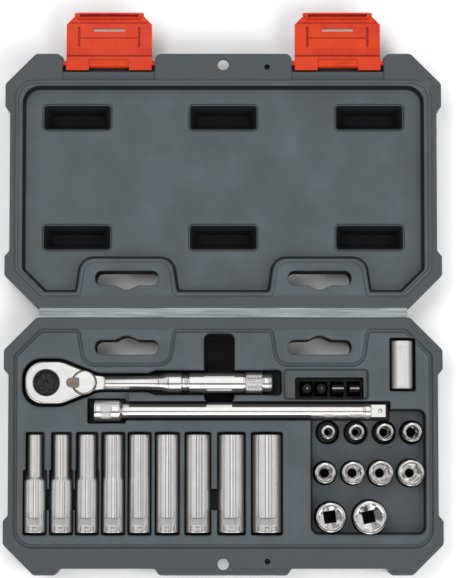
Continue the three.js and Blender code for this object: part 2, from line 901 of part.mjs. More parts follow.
function extensionBar() {
  const { length } = extension;
  const shoulder = length - tangLength - 0.6;
  const bar = turned(
    [
      [extensionEndRadius - 0.4, 0],
      [extensionEndRadius, 0.4],
      [extensionEndRadius, extensionEndLength - 1],
      [shaftRadius, extensionEndLength + 1],
      [shaftRadius, shoulder - 4],
      [shaftRadius + 0.7, shoulder - shaftNeck],
      [shaftRadius + 0.7, shoulder],
    ],
    20,
  );
  const ballHole = ballBore().translate([length - ballFromTip, 0, 0]);
  return alongX(bar.add(prism(square(driveSquare), shoulder - 0.5, length)))
    .subtract(alongX(prism(square(driveSquare + driveSlack), -overcut, driveDepth)))
    .subtract(ballHole);
}

function bitHolder() {
  const { length, radius } = holder;
  return turned([[radius - 0.4, 0], [radius, 0.4], [radius, length - 0.4], [radius - 0.4, length]])
    .subtract(prism(square(driveSquare + driveSlack), -overcut, driveDepth))
    .subtract(prism(hexagon(bitHex + bitHexSlack), length - holderHexDepth, length + overcut))
    .rotate([90, 0, 0])
    .translate([0, length / 2, 0]);
}

function bitMagnet() {
  const from = holder.length - holderHexDepth + touchGap;
  return turned([[magnetRadius, from], [magnetRadius, from + magnetLength]], 16)
    .rotate([90, 0, 0])
    .translate([0, holder.length / 2, 0]);
}

function bitBody(tipRadius) {
  const neck = 2.6;
  const shank = prism(hexagon(bitHex), 0, bitShank);
  const cone = turned(
    [
      [neck + 0.4, bitShank - 0.01],
      [neck, bitShank + 1.5],
      [neck, bitLength - 4],
      [tipRadius, bitLength],
    ],
    16,
  );
  return shank.add(cone);
}

function phillipsBit(tipRadius) {
  const cuts = [0, 90, 180, 270].map((angle) =>
    box(0.55, 4, 0.55, 4, bitLength - 6, bitLength + overcut).rotate([0, 0, angle]),
  );
  return cuts.reduce((all, cut) => all.subtract(cut), bitBody(tipRadius));
}

function slottedBit(width) {
  const blade = box(
    -width / 2,
    width / 2,
    -bladeThickness / 2,
    bladeThickness / 2,
    bitLength - 7,
    bitLength,
  );
  const round = bitBody(1.2);
  const cut = box(-4, 4, bladeThickness / 2, 4, bitLength - 4, bitLength + overcut);
  const other = box(-4, 4, -4, -bladeThickness / 2, bitLength - 4, bitLength + overcut);
  return round.subtract(cut).subtract(other).add(blade);
}

function livingHinge() {
  const half = halfWidth - rearChamfer - 1.5;
  const reach = hingeGap / 2 - touchGap;
  return box(-half, half, -reach, reach, halfHeight - hingeStripHeight, halfHeight);
}

function addCase() {
  add("case_base", caseBase(), "caseGrey");
  add("living_hinge", livingHinge(), "hingeGrey", [0, hingeY, 0]);
  const lidFrame = new THREE.Group();
  lidFrame.position.y = 2 * hingeY;
  lidFrame.rotation.z = Math.PI;
  group.add(lidFrame);
  add("case_lid", caseLid(), "caseGrey", [0, 0, 0], lidFrame);
  add("latch_left", latch(), "latchOrange", [latchX, pivotY, pivotZ], lidFrame);
  add("latch_right", latch(), "latchOrange", [-latchX, pivotY, pivotZ], lidFrame);
}

function addRatchet() {
  const frame = new THREE.Group();
  frame.position.set(ratchet.x, ratchet.y, ratchet.z);
  group.add(frame);
  const ballZ = -headHalf - tangLength + ballFromTip;
  const springX = driveSquare / 2 - ballBoreDepth + 0.1;
  const pinHalf = gearHalf - 0.2;
  add("ratchet_body", ratchetBody(), "chrome", [0, 0, 0], frame);
  add("drive_gear", driveGear(), "darkSteel", [0, 0, 0], frame);
  add("retaining_ring", retainingRing(), "darkSteel", [0, 0, 0], frame);
  add("pawl", pawl(), "darkSteel", [pawlX, 0, 0], frame);
  const pin = prism(circle(pawlX, 0, pawlPinRadius, 16), -pinHalf, pinHalf);
  add("pawl_pin", pin, "darkSteel", [0, 0, 0], frame);
  add("reversing_lever", reversingLever(), "chrome", [leverX, 0, 0], frame);
  add("pawl_plunger", pawlPlunger(), "darkSteel", [leverX, 0, 0], frame);
  const plungerSpring = alongX(spring(2 * plungerEnd - 0.3, plungerSpringTurns)).translate([0.2 - plungerEnd, 0, 0]);
  add("plunger_spring", plungerSpring, "darkSteel", [leverX, 0, 0], frame);
  add("drive_ball", ball(ballRadius), "chrome", [ballOffset, 0, ballZ], frame);
  add("drive_ball_spring", alongX(spring(ballSpringLength, ballSpringTurns)), "darkSteel", [springX, 0, ballZ], frame);
}

function addExtension() {
  const { x, y, z, length } = extension;
  const ballX = x + length - ballFromTip;
  const springZ = z + driveSquare / 2 - ballBoreDepth + 0.1;
  add("extension_bar", extensionBar(), "chrome", [x, y, z]);
  add("extension_ball", ball(ballRadius), "chrome", [ballX, y, z + ballOffset]);
  add("extension_ball_spring", spring(ballSpringLength, ballSpringTurns), "darkSteel", [ballX, y, springZ]);
}

function addBits() {
  add("bit_holder", bitHolder(), "chrome", [holder.x, holder.y, holder.z]);
  add("bit_magnet", bitMagnet(), "darkSteel", [holder.x, holder.y, holder.z]);
  const bodies = [
    phillipsBit(0.8),
    phillipsBit(0.5),
    slottedBit(bladeWidths[0]),
    slottedBit(bladeWidths[1]),
  ];
  bodies.forEach((body, i) => {
    add(bitNames[i], body, "darkSteel", [bitX[i], bitY, wellFloor + touchGap]);
  });
}

function addSockets() {
  deepX.forEach((x, i) => {
    const size = sizes[i];
    const mesh = add("deep_socket_" + size, socket(size, deepLength, deepEndLength), "chrome");
    mesh.rotation.x = -Math.PI / 2;
    mesh.position.set(x, deepNoseY - deepLength, deepAxisZ(size));
  });
  shortPlaces.forEach(({ x, y }, i) => {
    const size = sizes[i];
    const place = [x, y, wellFloor + touchGap];
    add("short_socket_" + size, socket(size, shortLength, shortEndLength), "chrome", place);
  });
}

addCase();
addRatchet();
addExtension();
addBits();
addSockets();

export default group;
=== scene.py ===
import math
import bpy
import numpy as np
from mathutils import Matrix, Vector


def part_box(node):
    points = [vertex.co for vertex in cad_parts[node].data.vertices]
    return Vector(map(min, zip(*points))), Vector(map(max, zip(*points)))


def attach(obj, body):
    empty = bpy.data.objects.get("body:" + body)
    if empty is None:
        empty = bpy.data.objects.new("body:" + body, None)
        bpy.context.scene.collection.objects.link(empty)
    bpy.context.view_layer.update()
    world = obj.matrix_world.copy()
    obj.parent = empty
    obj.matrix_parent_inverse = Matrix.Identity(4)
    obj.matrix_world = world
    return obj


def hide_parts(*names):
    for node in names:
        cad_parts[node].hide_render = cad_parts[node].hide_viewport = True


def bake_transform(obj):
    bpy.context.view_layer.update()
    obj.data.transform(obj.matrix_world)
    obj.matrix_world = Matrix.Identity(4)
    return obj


# A quarter-inch-drive socket set in an open blow-moulded case. Lengths are in metres.
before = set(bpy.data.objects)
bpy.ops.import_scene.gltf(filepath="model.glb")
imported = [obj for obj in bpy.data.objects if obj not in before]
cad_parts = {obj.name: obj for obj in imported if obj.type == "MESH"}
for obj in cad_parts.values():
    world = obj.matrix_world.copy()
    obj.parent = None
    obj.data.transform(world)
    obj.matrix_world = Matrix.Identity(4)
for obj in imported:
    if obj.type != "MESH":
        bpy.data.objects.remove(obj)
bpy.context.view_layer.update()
mm = 0.001
toolSizes = ["5_32", "3_16", "7_32", "1_4", "9_32", "5_16", "11_32", "3_8", "7_16", "1_2"]
bits = {
    "bit_phillips_large": ("phillips", 0.8),
    "bit_phillips_small": ("phillips", 0.5),
    "bit_slotted_large": ("slotted", 6.2),
    "bit_slotted_small": ("slotted", 5.1),
}
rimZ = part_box("case_base")[1][2]


def newMesh(name, verts, faces):
    mesh = bpy.data.meshes.new(name)
    mesh.from_pydata(np.asarray(verts, float).reshape(-1, 3).tolist(), [], faces)
    return mesh


def newObject(name, data):
    made = bpy.data.objects.new(name, data)
    bpy.context.scene.collection.objects.link(made)
    return made


def newPiece(name, verts, faces, *rest):
    # a piece from vertices and faces, riding on its body, standing for its node
    return finishPiece(newMesh(name, verts, faces), name, *rest)


def finishPiece(mesh, name, body, slot, material, node=None, sharp=32):
    mesh.validate()
    mesh.materials.clear()
    mesh.shade_smooth()
    mesh.set_sharp_from_angle(angle=math.radians(sharp))
    piece = newObject(name, mesh)
    mesh.materials.append(material)
    if body:
        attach(piece, body)
    if node:
        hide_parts(node)
    return piece


def gridFaces(rows, columns, closeRows=False, closeColumns=True):
    # quads between neighbouring rows, wrapping round the columns and, for a ring, the rows
    i = np.arange(rows if closeRows else rows - 1)[:, None]
    j = np.arange(columns if closeColumns else columns - 1)[None, :]
    here, nextRow, nextColumn = i * columns, ((i + 1) % rows) * columns, (j + 1) % columns
    quads = np.stack([here + j, here + nextColumn, nextRow + nextColumn, nextRow + j], -1)
    return quads.reshape(-1, 4).tolist()


def loft(rings):
    # a closed solid through rings (rows, count, 3) that run anticlockwise, from the bottom up
    rows, count = rings.shape[:2]
    caps = [list(range(count))[::-1], list(range((rows - 1) * count, rows * count))]
    return rings.reshape(-1, 3), gridFaces(rows, count) + caps


def ringLoft(rings):
    # a closed ring of rings, such as a bead: its section runs anticlockwise seen along the path
    rows, count = rings.shape[:2]
    return rings.reshape(-1, 3), gridFaces(rows, count, closeRows=True)


def cut(base, tools, kind="DIFFERENCE"):
    # base and tools are (verts, faces); the result is a mesh
    body = newObject("blank", newMesh("blank", *base))
    cutters = [newObject("cutter", newMesh("cutter", *tool)) for tool in tools]
    for cutter in cutters:
        change = body.modifiers.new("cut", "BOOLEAN")
        change.operation = kind
        change.solver = "MANIFOLD"
        change.object = cutter
    bpy.context.view_layer.update()
    result = bpy.data.meshes.new_from_object(body.evaluated_get(bpy.context.evaluated_depsgraph_get()))
    for thing in [body] + cutters:
        bpy.data.objects.remove(thing)
    return result


def meshShape(mesh):
    # a mesh back as (verts, faces)
    verts = np.empty(len(mesh.vertices) * 3)
    mesh.vertices.foreach_get("co", verts)
    return verts.reshape(-1, 3), [list(face.vertices) for face in mesh.polygons]


def faceData(mesh, what):
    values = np.empty(len(mesh.polygons) * 3)
    mesh.polygons.foreach_get(what, values)
    return values.reshape(-1, 3)


def paintPocketShade(piece, inside, floors, walls):
    # how far each face lies down in a pocket, 0 to 1, as its share of painted shade: floors take painted
    # shade between two depths, and steep walls between another two
    mesh = piece.data
    centres, up = faceData(mesh, "center"), faceData(mesh, "normal")[:, 2]
    depth = rimZ / mm - centres[:, 2] / mm
    flat = smoothstep(0.3, 0.9, up)
    dark = flat * smoothstep(*floors, depth) + (1 - flat) * smoothstep(*walls, depth)
    dark *= inside(centres / mm) & (up > -0.2)
    # the share of painted shade is kept on each face for the materials
    mesh.attributes.new("paintedRecessShade", "FLOAT", "FACE").data.foreach_set("value", dark.astype(np.float32))
    return piece


def weigh(piece):
    # keeps broad faces flat beside rounded edges
    change = piece.modifiers.new("even", "WEIGHTED_NORMAL")
    change.keep_sharp = True
    change.weight = 90
    return piece


def numberOf(size):
    top, bottom = size.split("_")
    return int(top) / int(bottom)


def noseRadius(size):
    # the wall outside the hexagon's corners
    return numberOf(size) * 25.4 / math.sqrt(3) + 1.25


# outlines are in millimetres: corners are (x, y, radius), anticlockwise


def shiftEdges(corners, inset):
    # each edge moves inwards by inset; convex corners tighten and hollow ones open
    places = np.array([c[:2] for c in corners], float)
    radii = np.array([c[2] for c in corners], float)
    ahead = np.roll(places, -1, 0) - places
    ahead /= np.linalg.norm(ahead, axis=1)[:, None]
    inward = np.stack([-ahead[:, 1], ahead[:, 0]], 1)
    before, beforeIn = np.roll(ahead, 1, 0), np.roll(inward, 1, 0)
    turn = before[:, 0] * ahead[:, 1] - before[:, 1] * ahead[:, 0]
    bisector = (inward + beforeIn) / (1 + (inward * beforeIn).sum(1))[:, None]
    moved = places + bisector * inset
    radii = np.where(radii > 0, np.maximum(radii - inset * np.sign(turn), 0.12), 0)
    return [(x, y, r) for (x, y), r in zip(moved, radii)]


def outline(corners, inset=0.0, steps=6):
    # the corners shifted inwards by inset, each rounded by an arc of `steps` spans
    corners = shiftEdges(corners, inset)
    points = []
    for k, (x, y, radius) in enumerate(corners):
        here = np.array([x, y])
        back = np.array(corners[k - 1][:2]) - here
        ahead = np.array(corners[(k + 1) % len(corners)][:2]) - here
        reach = 0.49 * min(np.linalg.norm(back), np.linalg.norm(ahead))
        back, ahead = back / np.linalg.norm(back), ahead / np.linalg.norm(ahead)
        half = math.acos(np.clip(back @ ahead, -0.9999, 1)) / 2
        run = min(max(radius, 0.05) / math.tan(half), reach)
        r = run * math.tan(half)
        middle = (back + ahead) / np.linalg.norm(back + ahead)
        centre = here + middle * r / math.sin(half)
        start, end = here + back * run - centre, here + ahead * run - centre
        sweep = math.atan2(start[0] * end[1] - start[1] * end[0], start @ end)
        turns = np.linspace(0, sweep, steps + 1)
        x = start[0] * np.cos(turns) - start[1] * np.sin(turns)
        y = start[0] * np.sin(turns) + start[1] * np.cos(turns)
        points.append(centre + np.stack([x, y], 1))
    return np.concatenate(points)


def rectangle(x0, x1, y0, y1, radius=1.0):
    return [(x0, y0, radius), (x1, y0, radius), (x1, y1, radius), (x0, y1, radius)]


def mirrored(half, middle=0):
    # the right half of an outline, from the front round to the rear, and its mirror image
    return half + [(2 * middle - x, y, radius) for x, y, radius in reversed(half)]


def around(x, y, radius):
    # a circle as a square of corners with full radii
    return rectangle(x - radius, x + radius, y - radius, y + radius, radius)


def carried(corners, profile, steps=6):
    # rings of the outline at each (inset, z) of the profile, in metres
    rings = []
    for inset, z in profile:
        ring = outline(corners, inset, steps)
        rings.append(np.column_stack([ring, np.full(len(ring), z)]))
    return np.stack(rings) * mm


def arc(centre, radius, first, last, count=5):
    # points of an arc in (inset, z), angles in degrees from the +inset direction
    angles = np.radians(np.linspace(first, last, count))
    return [(centre[0] + radius * math.cos(a), centre[1] + radius * math.sin(a)) for a in angles]


def pocketTool(corners, top, floor, lip=0.8, draft=0.4, fillet=0.8, steps=6):
    # a pocket's inside: rounded lip at the top, drafted wall, rounded floor
    profile = arc((draft + fillet, floor + fillet), fillet, 270, 180, 4)
    profile += arc((-lip, top - lip), lip, 0, 82, 5)
    profile.append((-lip * 0.86, top + 2))
    return loft(carried(corners, profile, steps))


def boxPocket(x0, x1, y0, y1, radius, *rest):
    # rest: top, floor, lip, draft, fillet, steps
    return pocketTool(rectangle(x0, x1, y0, y1, radius), *rest)


def throughTool(corners, low, high, lip=0.8, steps=6):
    # a hole through a wall with both mouths rounded
    profile = [(-lip * 0.86, low - 2)]
    profile += arc((-lip, low + lip), lip, 278, 360, 5)
    profile += arc((-lip, high - lip), lip, 0, 82, 5)
    profile.append((-lip * 0.86, high + 2))
    return loft(carried(corners, profile, steps))


def slab(corners, low, high, inset=0.0, steps=6):
    return loft(carried(corners, [(inset, low), (inset, high)], steps))


def placed(shape, turn=0.0, move=(0, 0, 0)):
    # a shape turned about Z by an angle in radians, then moved, in metres
    verts, faces = shape
    c, s = round(math.cos(turn), 9), round(math.sin(turn), 9)
    spun = np.asarray(verts).reshape(-1, 3) @ np.array([[c, s, 0], [-s, c, 0], [0, 0, 1]])
    return spun + np.asarray(move), faces


def polarCircle(angle):
    return np.ones_like(angle)


def polarPolygon(sides, turn):
    # distance to a regular polygon's side, as a multiple of its inner radius
    def shape(angle):
        step = 2 * math.pi / sides
        return 1 / np.cos((angle - turn + step / 2) % step - step / 2)

    return shape


hexShape = polarPolygon(6, 0)
squareShape = polarPolygon(4, 0)


def turnedRows(rows, columns=72):
    # each row is (radius, z) or (radius, z, shape): a ring whose radius follows its shape
    angle = np.linspace(0, 2 * math.pi, columns, endpoint=False)
    rings = []
    for row in rows:
        radius, z = row[:2]
        shape = row[2] if len(row) > 2 else polarCircle
        r = radius * shape(angle)
        rings.append(np.column_stack([r * np.cos(angle), r * np.sin(angle), np.full(columns, z)]))
    return np.stack(rings) * mm


def smoothstep(low, high, value):
    t = np.clip((value - low) / (high - low), 0, 1)
    return t * t * (3 - 2 * t)


def knurl(rings, low, high, pitch, height):
    # pushes rows between two heights out by a diamond pattern of crossing V grooves, which run
    # where turn + rise or turn - rise, both counted in pitches, passes a half
    x, y, z = rings[..., 0], rings[..., 1], rings[..., 2] / mm
    radius = np.hypot(x, y)
    teeth = round(2 * math.pi * float(radius.max()) / mm / pitch)
    turn, rise = np.arctan2(y, x) * teeth / (2 * math.pi), z / pitch
    ridge = np.minimum(np.abs((turn + rise) % 1 - 0.5), np.abs((turn - rise) % 1 - 0.5)) * 2
    runOut, level = 0.4, 0.6
    fade = smoothstep(low, low + runOut, z) * (1 - smoothstep(high - runOut, high, z))
    scale = 1 + fade * height * mm * (ridge - level) / radius
    rings[..., 0] = x * scale
    rings[..., 1] = y * scale
    return rings


def lying(verts, direction):
    # a shape drawn along Z laid along another axis
    x, y, z = verts[..., 0], verts[..., 1], verts[..., 2]
    laid = {"x": [z, y, -x], "y": [x, z, -y], "-y": [x, -z, y], "z": [x, y, z]}[direction]
    return np.stack(laid, -1)


def centreOf(node):
    low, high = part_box(node)
    return (np.array(low) + np.array(high)) / 2


def boxInMm(name):
    low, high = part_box(name)
    return np.array(low) / mm, np.array(high) / mm


def laidIn(name, verts, direction):
    # a shape drawn up Z from its foot, laid along its node's box from the end it starts at
    axis = "xyz".index(direction[-1])
    spot = centreOf(name)
    spot[axis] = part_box(name)[direction[0] == "-"][axis]
    return lying(verts, direction) + spot


def linear(hexColour):
    # an sRGB hex colour as linear red, green, blue
    parts = [int(hexColour[k : k + 2], 16) / 255 for k in (1, 3, 5)]
    return [c / 12.92 if c <= 0.04045 else ((c + 0.055) / 1.055) ** 2.4 for c in parts]


def node(tree, kind, settings=None, links=None):
    # adds a node, sets its sockets and properties, and links its inputs
    made = tree.nodes.new("ShaderNode" + kind)
    for key, value in (settings or {}).items():
        if isinstance(key, int) or key in made.inputs:
            made.inputs[key].default_value = value
        else:
            setattr(made, key, value)
    for key, source in (links or {}).items():
        tree.links.new(source, made.inputs[key])
    return made


def newMaterial(name, settings):
    made = bpy.data.materials.new(name)
    made.use_nodes = True
    tree = made.node_tree
    shader = tree.nodes["Principled BSDF"]
    for key, value in settings.items():
        shader.inputs[key].default_value = value
    coords = node(tree, "TexCoord").outputs["Object"]
    return made, tree, shader, coords


def ramp(tree, factor, stops):
    made = node(tree, "ValToRGB", links={"Fac": factor})
    for k, (place, colour) in enumerate(stops):
        element = made.color_ramp.elements[k] if k < 2 else made.color_ramp.elements.new(place)
        element.position = place
        element.color = (*colour, 1)
    return made.outputs["Color"]


def noise(tree, coords, size, detail=4.0, roughness=0.55):
    # size is the real width of the pattern's lumps
    settings = {"Scale": 1 / size, "Detail": detail, "Roughness": roughness}
    return node(tree, "TexNoise", settings, {"Vector": coords}).outputs["Fac"]


def arithmetic(tree, kind, first, second=None):
    # each input is a socket, a number or, for a kind with one input, nothing
    made = node(tree, "Math", {"operation": kind})
    for k, value in enumerate((first, second)):
        if isinstance(value, float):
            made.inputs[k].default_value = value
        elif value is not None:
            tree.links.new(value, made.inputs[k])
    return made.outputs[0]


def toColour(tree, factor, colour, hexColour):
    # a colour going over to another as the factor rises
    made = node(tree, "Mix", {"data_type": "RGBA"}, {0: factor, 6: colour})
    made.inputs[7].default_value = (*linear(hexColour), 1)
    return made.outputs[2]


def split(tree, vector):
    return node(tree, "SeparateXYZ", links={0: vector}).outputs


def attribute(tree, name):
    return node(tree, "Attribute", {"attribute_name": name}).outputs["Fac"]


def squeezed(tree, coords, stretch):
    return node(tree, "Mapping", {"Scale": stretch}, {"Vector": coords}).outputs["Vector"]


def mapped(tree, value, low, high):
    # a value mapped from a range to 0 to 1
    span = {"From Min": low, "From Max": high}
    return node(tree, "MapRange", span, {"Value": value}).outputs["Result"]


def join(tree, shader, colour, roughness, height=None, strength=0.1, distance=0.1 * mm):
    # links a material's colour and roughness, and its relief through a bump
    tree.links.new(colour, shader.inputs["Base Color"])
    if roughness:
        tree.links.new(roughness, shader.inputs["Roughness"])
    if height:
        settings = {"Strength": strength, "Distance": distance}
        relief = node(tree, "Bump", settings, {"Height": height})
        tree.links.new(relief.outputs["Normal"], shader.inputs["Normal"])


def spread(tree, factor, low, high):
    # a factor mapped to a range, for roughness
    made = node(tree, "MapRange", {"To Min": low, "To Max": high}, {"Value": factor})
    return made.outputs["Result"]


caseLook = {
    "base": "#4b5256",
    # painted shade: the rim outside the bead is coloured darker than the panel
    "rim": "#42484c",
    "deep": "#464c50",
    "worn": "#545b60",
    # painted shade at the bottom and walls of the pockets
    "pocket": "#121517",
    "roughness": (0.38, 0.52),
    "pocketRougher": 0.35,
    "grain": 0.45 * mm,  # moulded grain, drawn coarser than real so that it shows
    "cloud": 22 * mm,
    "hingeLine": 69.5 * mm,
    "beadSide": 108.2 * mm,
    "beadMiddle": 65.2 * mm,
    "beadReach": 56.3 * mm,
    "beadChamfer": 86.0 * mm,
    "rimBlend": 0.3 * mm,
}


def rimShadeMask(tree, coords):
    # 1 outside the bead on either half, where the rim takes painted shade: the larger of three
    # distances past its path, from the sides, from the front and rear, and from the chamfers by the hinge
    parts = split(tree, coords)
    x = arithmetic(tree, "ABSOLUTE", parts["X"])
    fromHinge = arithmetic(tree, "SUBTRACT", parts["Y"], caseLook["hingeLine"])
    fromHinge = arithmetic(tree, "ABSOLUTE", fromHinge)
    sides = arithmetic(tree, "SUBTRACT", x, caseLook["beadSide"])
    ends = arithmetic(tree, "SUBTRACT", fromHinge, caseLook["beadMiddle"])
    ends = arithmetic(tree, "SUBTRACT", arithmetic(tree, "ABSOLUTE", ends), caseLook["beadReach"])
    chamfers = arithmetic(tree, "SUBTRACT", x, fromHinge)
    chamfers = arithmetic(tree, "SUBTRACT", chamfers, caseLook["beadChamfer"])
    most = arithmetic(tree, "MAXIMUM", arithmetic(tree, "MAXIMUM", sides, ends), chamfers)
    return mapped(tree, most, -caseLook["rimBlend"], caseLook["rimBlend"])


def blowMouldedPolyethylene():
    # satin polyethylene: soft broad highlights, faint cloudy flow and a fine moulded grain;
    # deep-drawn pockets are rougher, and painted shade makes them nearly black
    made, tree, shader, coords = newMaterial("blow_moulded_polyethylene", {"IOR": 1.5})
    cloud = noise(tree, coords, caseLook["cloud"], 3)
    stops = ((0.3, "deep"), (0.5, "base"), (0.75, "worn"))
    middle = ramp(tree, cloud, [(place, linear(caseLook[key])) for place, key in stops])
    # painted shade on the rim outside the bead
    edge = toColour(tree, rimShadeMask(tree, coords), middle, caseLook["rim"])
    # painted shade by depth in the pockets, which also makes them rougher
    paintedRecessShade = attribute(tree, "paintedRecessShade")
    shade = toColour(tree, paintedRecessShade, edge, caseLook["pocket"])
    grain = noise(tree, coords, caseLook["grain"], 2)
    settings = {"operation": "MULTIPLY_ADD", 1: caseLook["pocketRougher"]}
    links = {0: paintedRecessShade, 2: spread(tree, grain, *caseLook["roughness"])}
    rough = node(tree, "Math", settings, links).outputs[0]
    join(tree, shader, shade, rough, grain, 0.12, 0.15 * mm)
    return made


webLook = {"thick": "#6d7579", "thin": "#a3a9ac", "streak": 1.2 * mm, "alongFold": 0.05}


def stretchedPolyethylene():
    # the hinge web: pinched thin, so paler and streaked along the fold
    settings = {"IOR": 1.5, "Roughness": 0.3}
    made, tree, shader, coords = newMaterial("stretched_polyethylene", settings)
    drawn = squeezed(tree, coords, (webLook["alongFold"], 1, 1))
    streak = noise(tree, drawn, webLook["streak"], 5)
    colours = [(0.35, linear(webLook["thick"])), (0.7, linear(webLook["thin"]))]
    join(tree, shader, ramp(tree, streak, colours), None, streak, 0.3, 0.2 * mm)
    return made


latchLook = {
    "darker": "#bd2e08",
    "lighter": "#cd390d",
    # painted shade for the latch's channels
    "channelShade": "#7c1503",
    "cloud": 9 * mm,
    "ripple": 2.5 * mm,
    "roughness": (0.2, 0.32),
}


def mouldedAbs():
    # glossy orange-red ABS: clear highlights on a barely uneven surface, with painted shade in its
    # channels
    settings = {"IOR": 1.53, "Specular IOR Level": 0.3}
    made, tree, shader, coords = newMaterial("moulded_abs", settings)
    colours = [(0.3, linear(latchLook["darker"])), (0.7, linear(latchLook["lighter"]))]
    plain = ramp(tree, noise(tree, coords, latchLook["cloud"], 3), colours)
    shade = toColour(tree, attribute(tree, "paintedRecessShade"), plain, latchLook["channelShade"])
    ripple = noise(tree, coords, latchLook["ripple"], 2)
    join(tree, shader, shade, spread(tree, ripple, *latchLook["roughness"]), ripple)
    return made


def platedSteel(name, tint, roughness, brush, along, metallic, relief):
    # chrome over polished steel: bright, with faint lines left by the belt along one axis
    made, tree, shader, coords = newMaterial(name, {"Metallic": metallic})
    stretch = {"x": (0.008, 1, 1), "y": (1, 0.004, 1), "z": (1, 1, 0.03)}[along]
    lines = noise(tree, squeezed(tree, coords, stretch), brush, 3)
    cloud = noise(tree, coords, 6 * mm, 2)
    darker = [c * 0.93 for c in linear(tint)]
    colour = ramp(tree, cloud, [(0.3, darker), (0.7, linear(tint))])
    join(tree, shader, colour, spread(tree, lines, *roughness), lines, relief, 0.2 * mm)
    return made


steelLook = {
    "dark": "#2c2d2e",
    "light": "#55565a",
    # painted highlight on a bit's tip
    "tipHighlight": "#c9c5be",
    "mottle": 1.1 * mm,
    "roughness": (0.25, 0.4),
    "tipHighlightBlend": 1.5 * mm,
}


def phosphatedSteel(name, highlightAbove=None):
    # dark phosphate on tool steel: near black, soft metallic sheen, slightly mottled; a bit's
    # tip gets a painted highlight above a height
    made, tree, shader, coords = newMaterial(name, {"Metallic": 1.0})
    mottle = noise(tree, coords, steelLook["mottle"], 4)
    colours = [(0.35, linear(steelLook["dark"])), (0.7, linear(steelLook["light"]))]
    colour = ramp(tree, mottle, colours)
    # painted highlight: the tip is coloured lighter above a height
    if highlightAbove:
        foot = highlightAbove - steelLook["tipHighlightBlend"]
        tipHighlight = mapped(tree, split(tree, coords)["Z"], foot, highlightAbove)
        colour = toColour(tree, tipHighlight, colour, steelLook["tipHighlight"])
    rough = spread(tree, mottle, *steelLook["roughness"])
    join(tree, shader, colour, rough, mottle, 0.1, 0.05 * mm)
    return made


casePlastic = blowMouldedPolyethylene()
hingePlastic = stretchedPolyethylene()
latchPlastic = mouldedAbs()
# name, tint, roughness from and to, spacing and axis of the belt lines, metallic share, relief
chromeAlongX = platedSteel("polished_chrome_along_x", "#e9e6e3", (0.08, 0.2), 0.8 * mm, "x", 0.9, 0.12)
chromeAlongY = platedSteel("satin_chrome_along_y", "#e0ddda", (0.06, 0.15), 0.9 * mm, "y", 0.85, 0.25)
chromeHolder = platedSteel("brushed_chrome_along_y", "#eceae7", (0.18, 0.32), 0.8 * mm, "y", 0.6, 0.45)
chromeUpright = platedSteel("satin_chrome_upright", "#eeebe8", (0.08, 0.2), 0.8 * mm, "z", 0.96, 0.15)
wornPlate = platedSteel("worn_plate_over_brass", "#9a8b7e", (0.3, 0.5), 0.8 * mm, "y", 0.7, 0.2)
darkSteel = phosphatedSteel("phosphated_steel")
# the bits get a painted highlight on their tips above 24 mm
bitSteel = phosphatedSteel("phosphated_steel_painted_tip_highlight", 24 * mm)
print("materials made")


case = {
    "bumperProud": 2.5,
    "bumperRamp": 3,
    "frontBumper": 12,
    "rearBumper": 10,
    "frontChamfer": 16,
    "rearChamfer": 17,
    "edgeRound": 3,
    "rimRound": 0.9,
    "beadInset": 6.3,
    "beadFront": 15.0,
    "beadRear": 7,
    "beadWidth": 1.8,
    "beadHeight": 1.2,
    "slotX": 50.4,
    "slotWidth": 33,
    "slotDepth": 7.6,
    "slotRear": 15.6,
    "padFoot": 54.5,
    "padTop": 47,
    "padDepth": 25.9,
    "latchX": 60.2,
    "notchHalf": 24.75,
    "notchDepth": 3.4,
    "thumb": 30,
    "flange": 5.5,
    "needleX": 23,
    "needleFront": 7.2,
    "pivotFront": 4.7,
    "pivotDrop": 3.2,
    # hollows as x from and to, y from and to
    "field": (45.6, 105.4, -45.8, 19.1),
    "bitFrame": (31.6, 75.6, 24.2, 40),
    "bitSlot": (37.6, 73.2, 24.2, 35.7),
    "fingerWell": (-10, 5.9, 22.7, 58.5),
    "fieldDepth": 8,
    "frameDepth": 3,
    "bitSlotDepth": 12,
    # bare rim left without the pockets' painted shade: at the sides, the rear and the chamfers
    "rimSide": 6,
    "rimRear": 5.5,
    "rimChamfer": 23,
    "panelDepth": 6.5,
    "dimpleRows": (-34.1, 29.5),
    "dimpleColumns": (-77, 0, 77),
    "dimpleHalf": (18.05, 6.85),
    "bayHalf": 24.25,
}
low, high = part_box("case_base")
halfWidth, rearEdge, rim = high[0] / mm, high[1] / mm, rimZ / mm
frontEdge = -rearEdge
lidPlace = (0, 2 * (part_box("living_hinge")[0][1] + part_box("living_hinge")[1][1]) / 2, 0)


def halfCorners(notched=False):
    # a half's outline: chamfered corners with bumpers that stand proud of the sides, and in
    # the base a notch in front for each latch
    out, side = halfWidth, halfWidth - case["bumperProud"]
    frontBump = frontEdge + case["frontChamfer"] + case["frontBumper"]
    rearBump = rearEdge - case["rearChamfer"] - case["rearBumper"]
    right = [
        (out - case["frontChamfer"], frontEdge, 3),
        (out, frontEdge + case["frontChamfer"], 3),
        (out, frontBump, 1.2),
        (side, frontBump + case["bumperRamp"], 1.2),
        (side, rearBump - case["bumperRamp"], 1.2),
        (out, rearBump, 1.2),
        (out, rearEdge - case["rearChamfer"], 3),
        (out - case["rearChamfer"], rearEdge, 3),
    ]
    if notched:
        middle, half, slant, deep = case["latchX"], case["notchHalf"], 2.2, case["notchDepth"]
        right = [
            (middle - half - slant, frontEdge, 2),
            (middle - half, frontEdge + deep, 1.5),
            (middle + half, frontEdge + deep, 1.5),
            (middle + half + slant, frontEdge, 2),
        ] + right
    return mirrored(right)


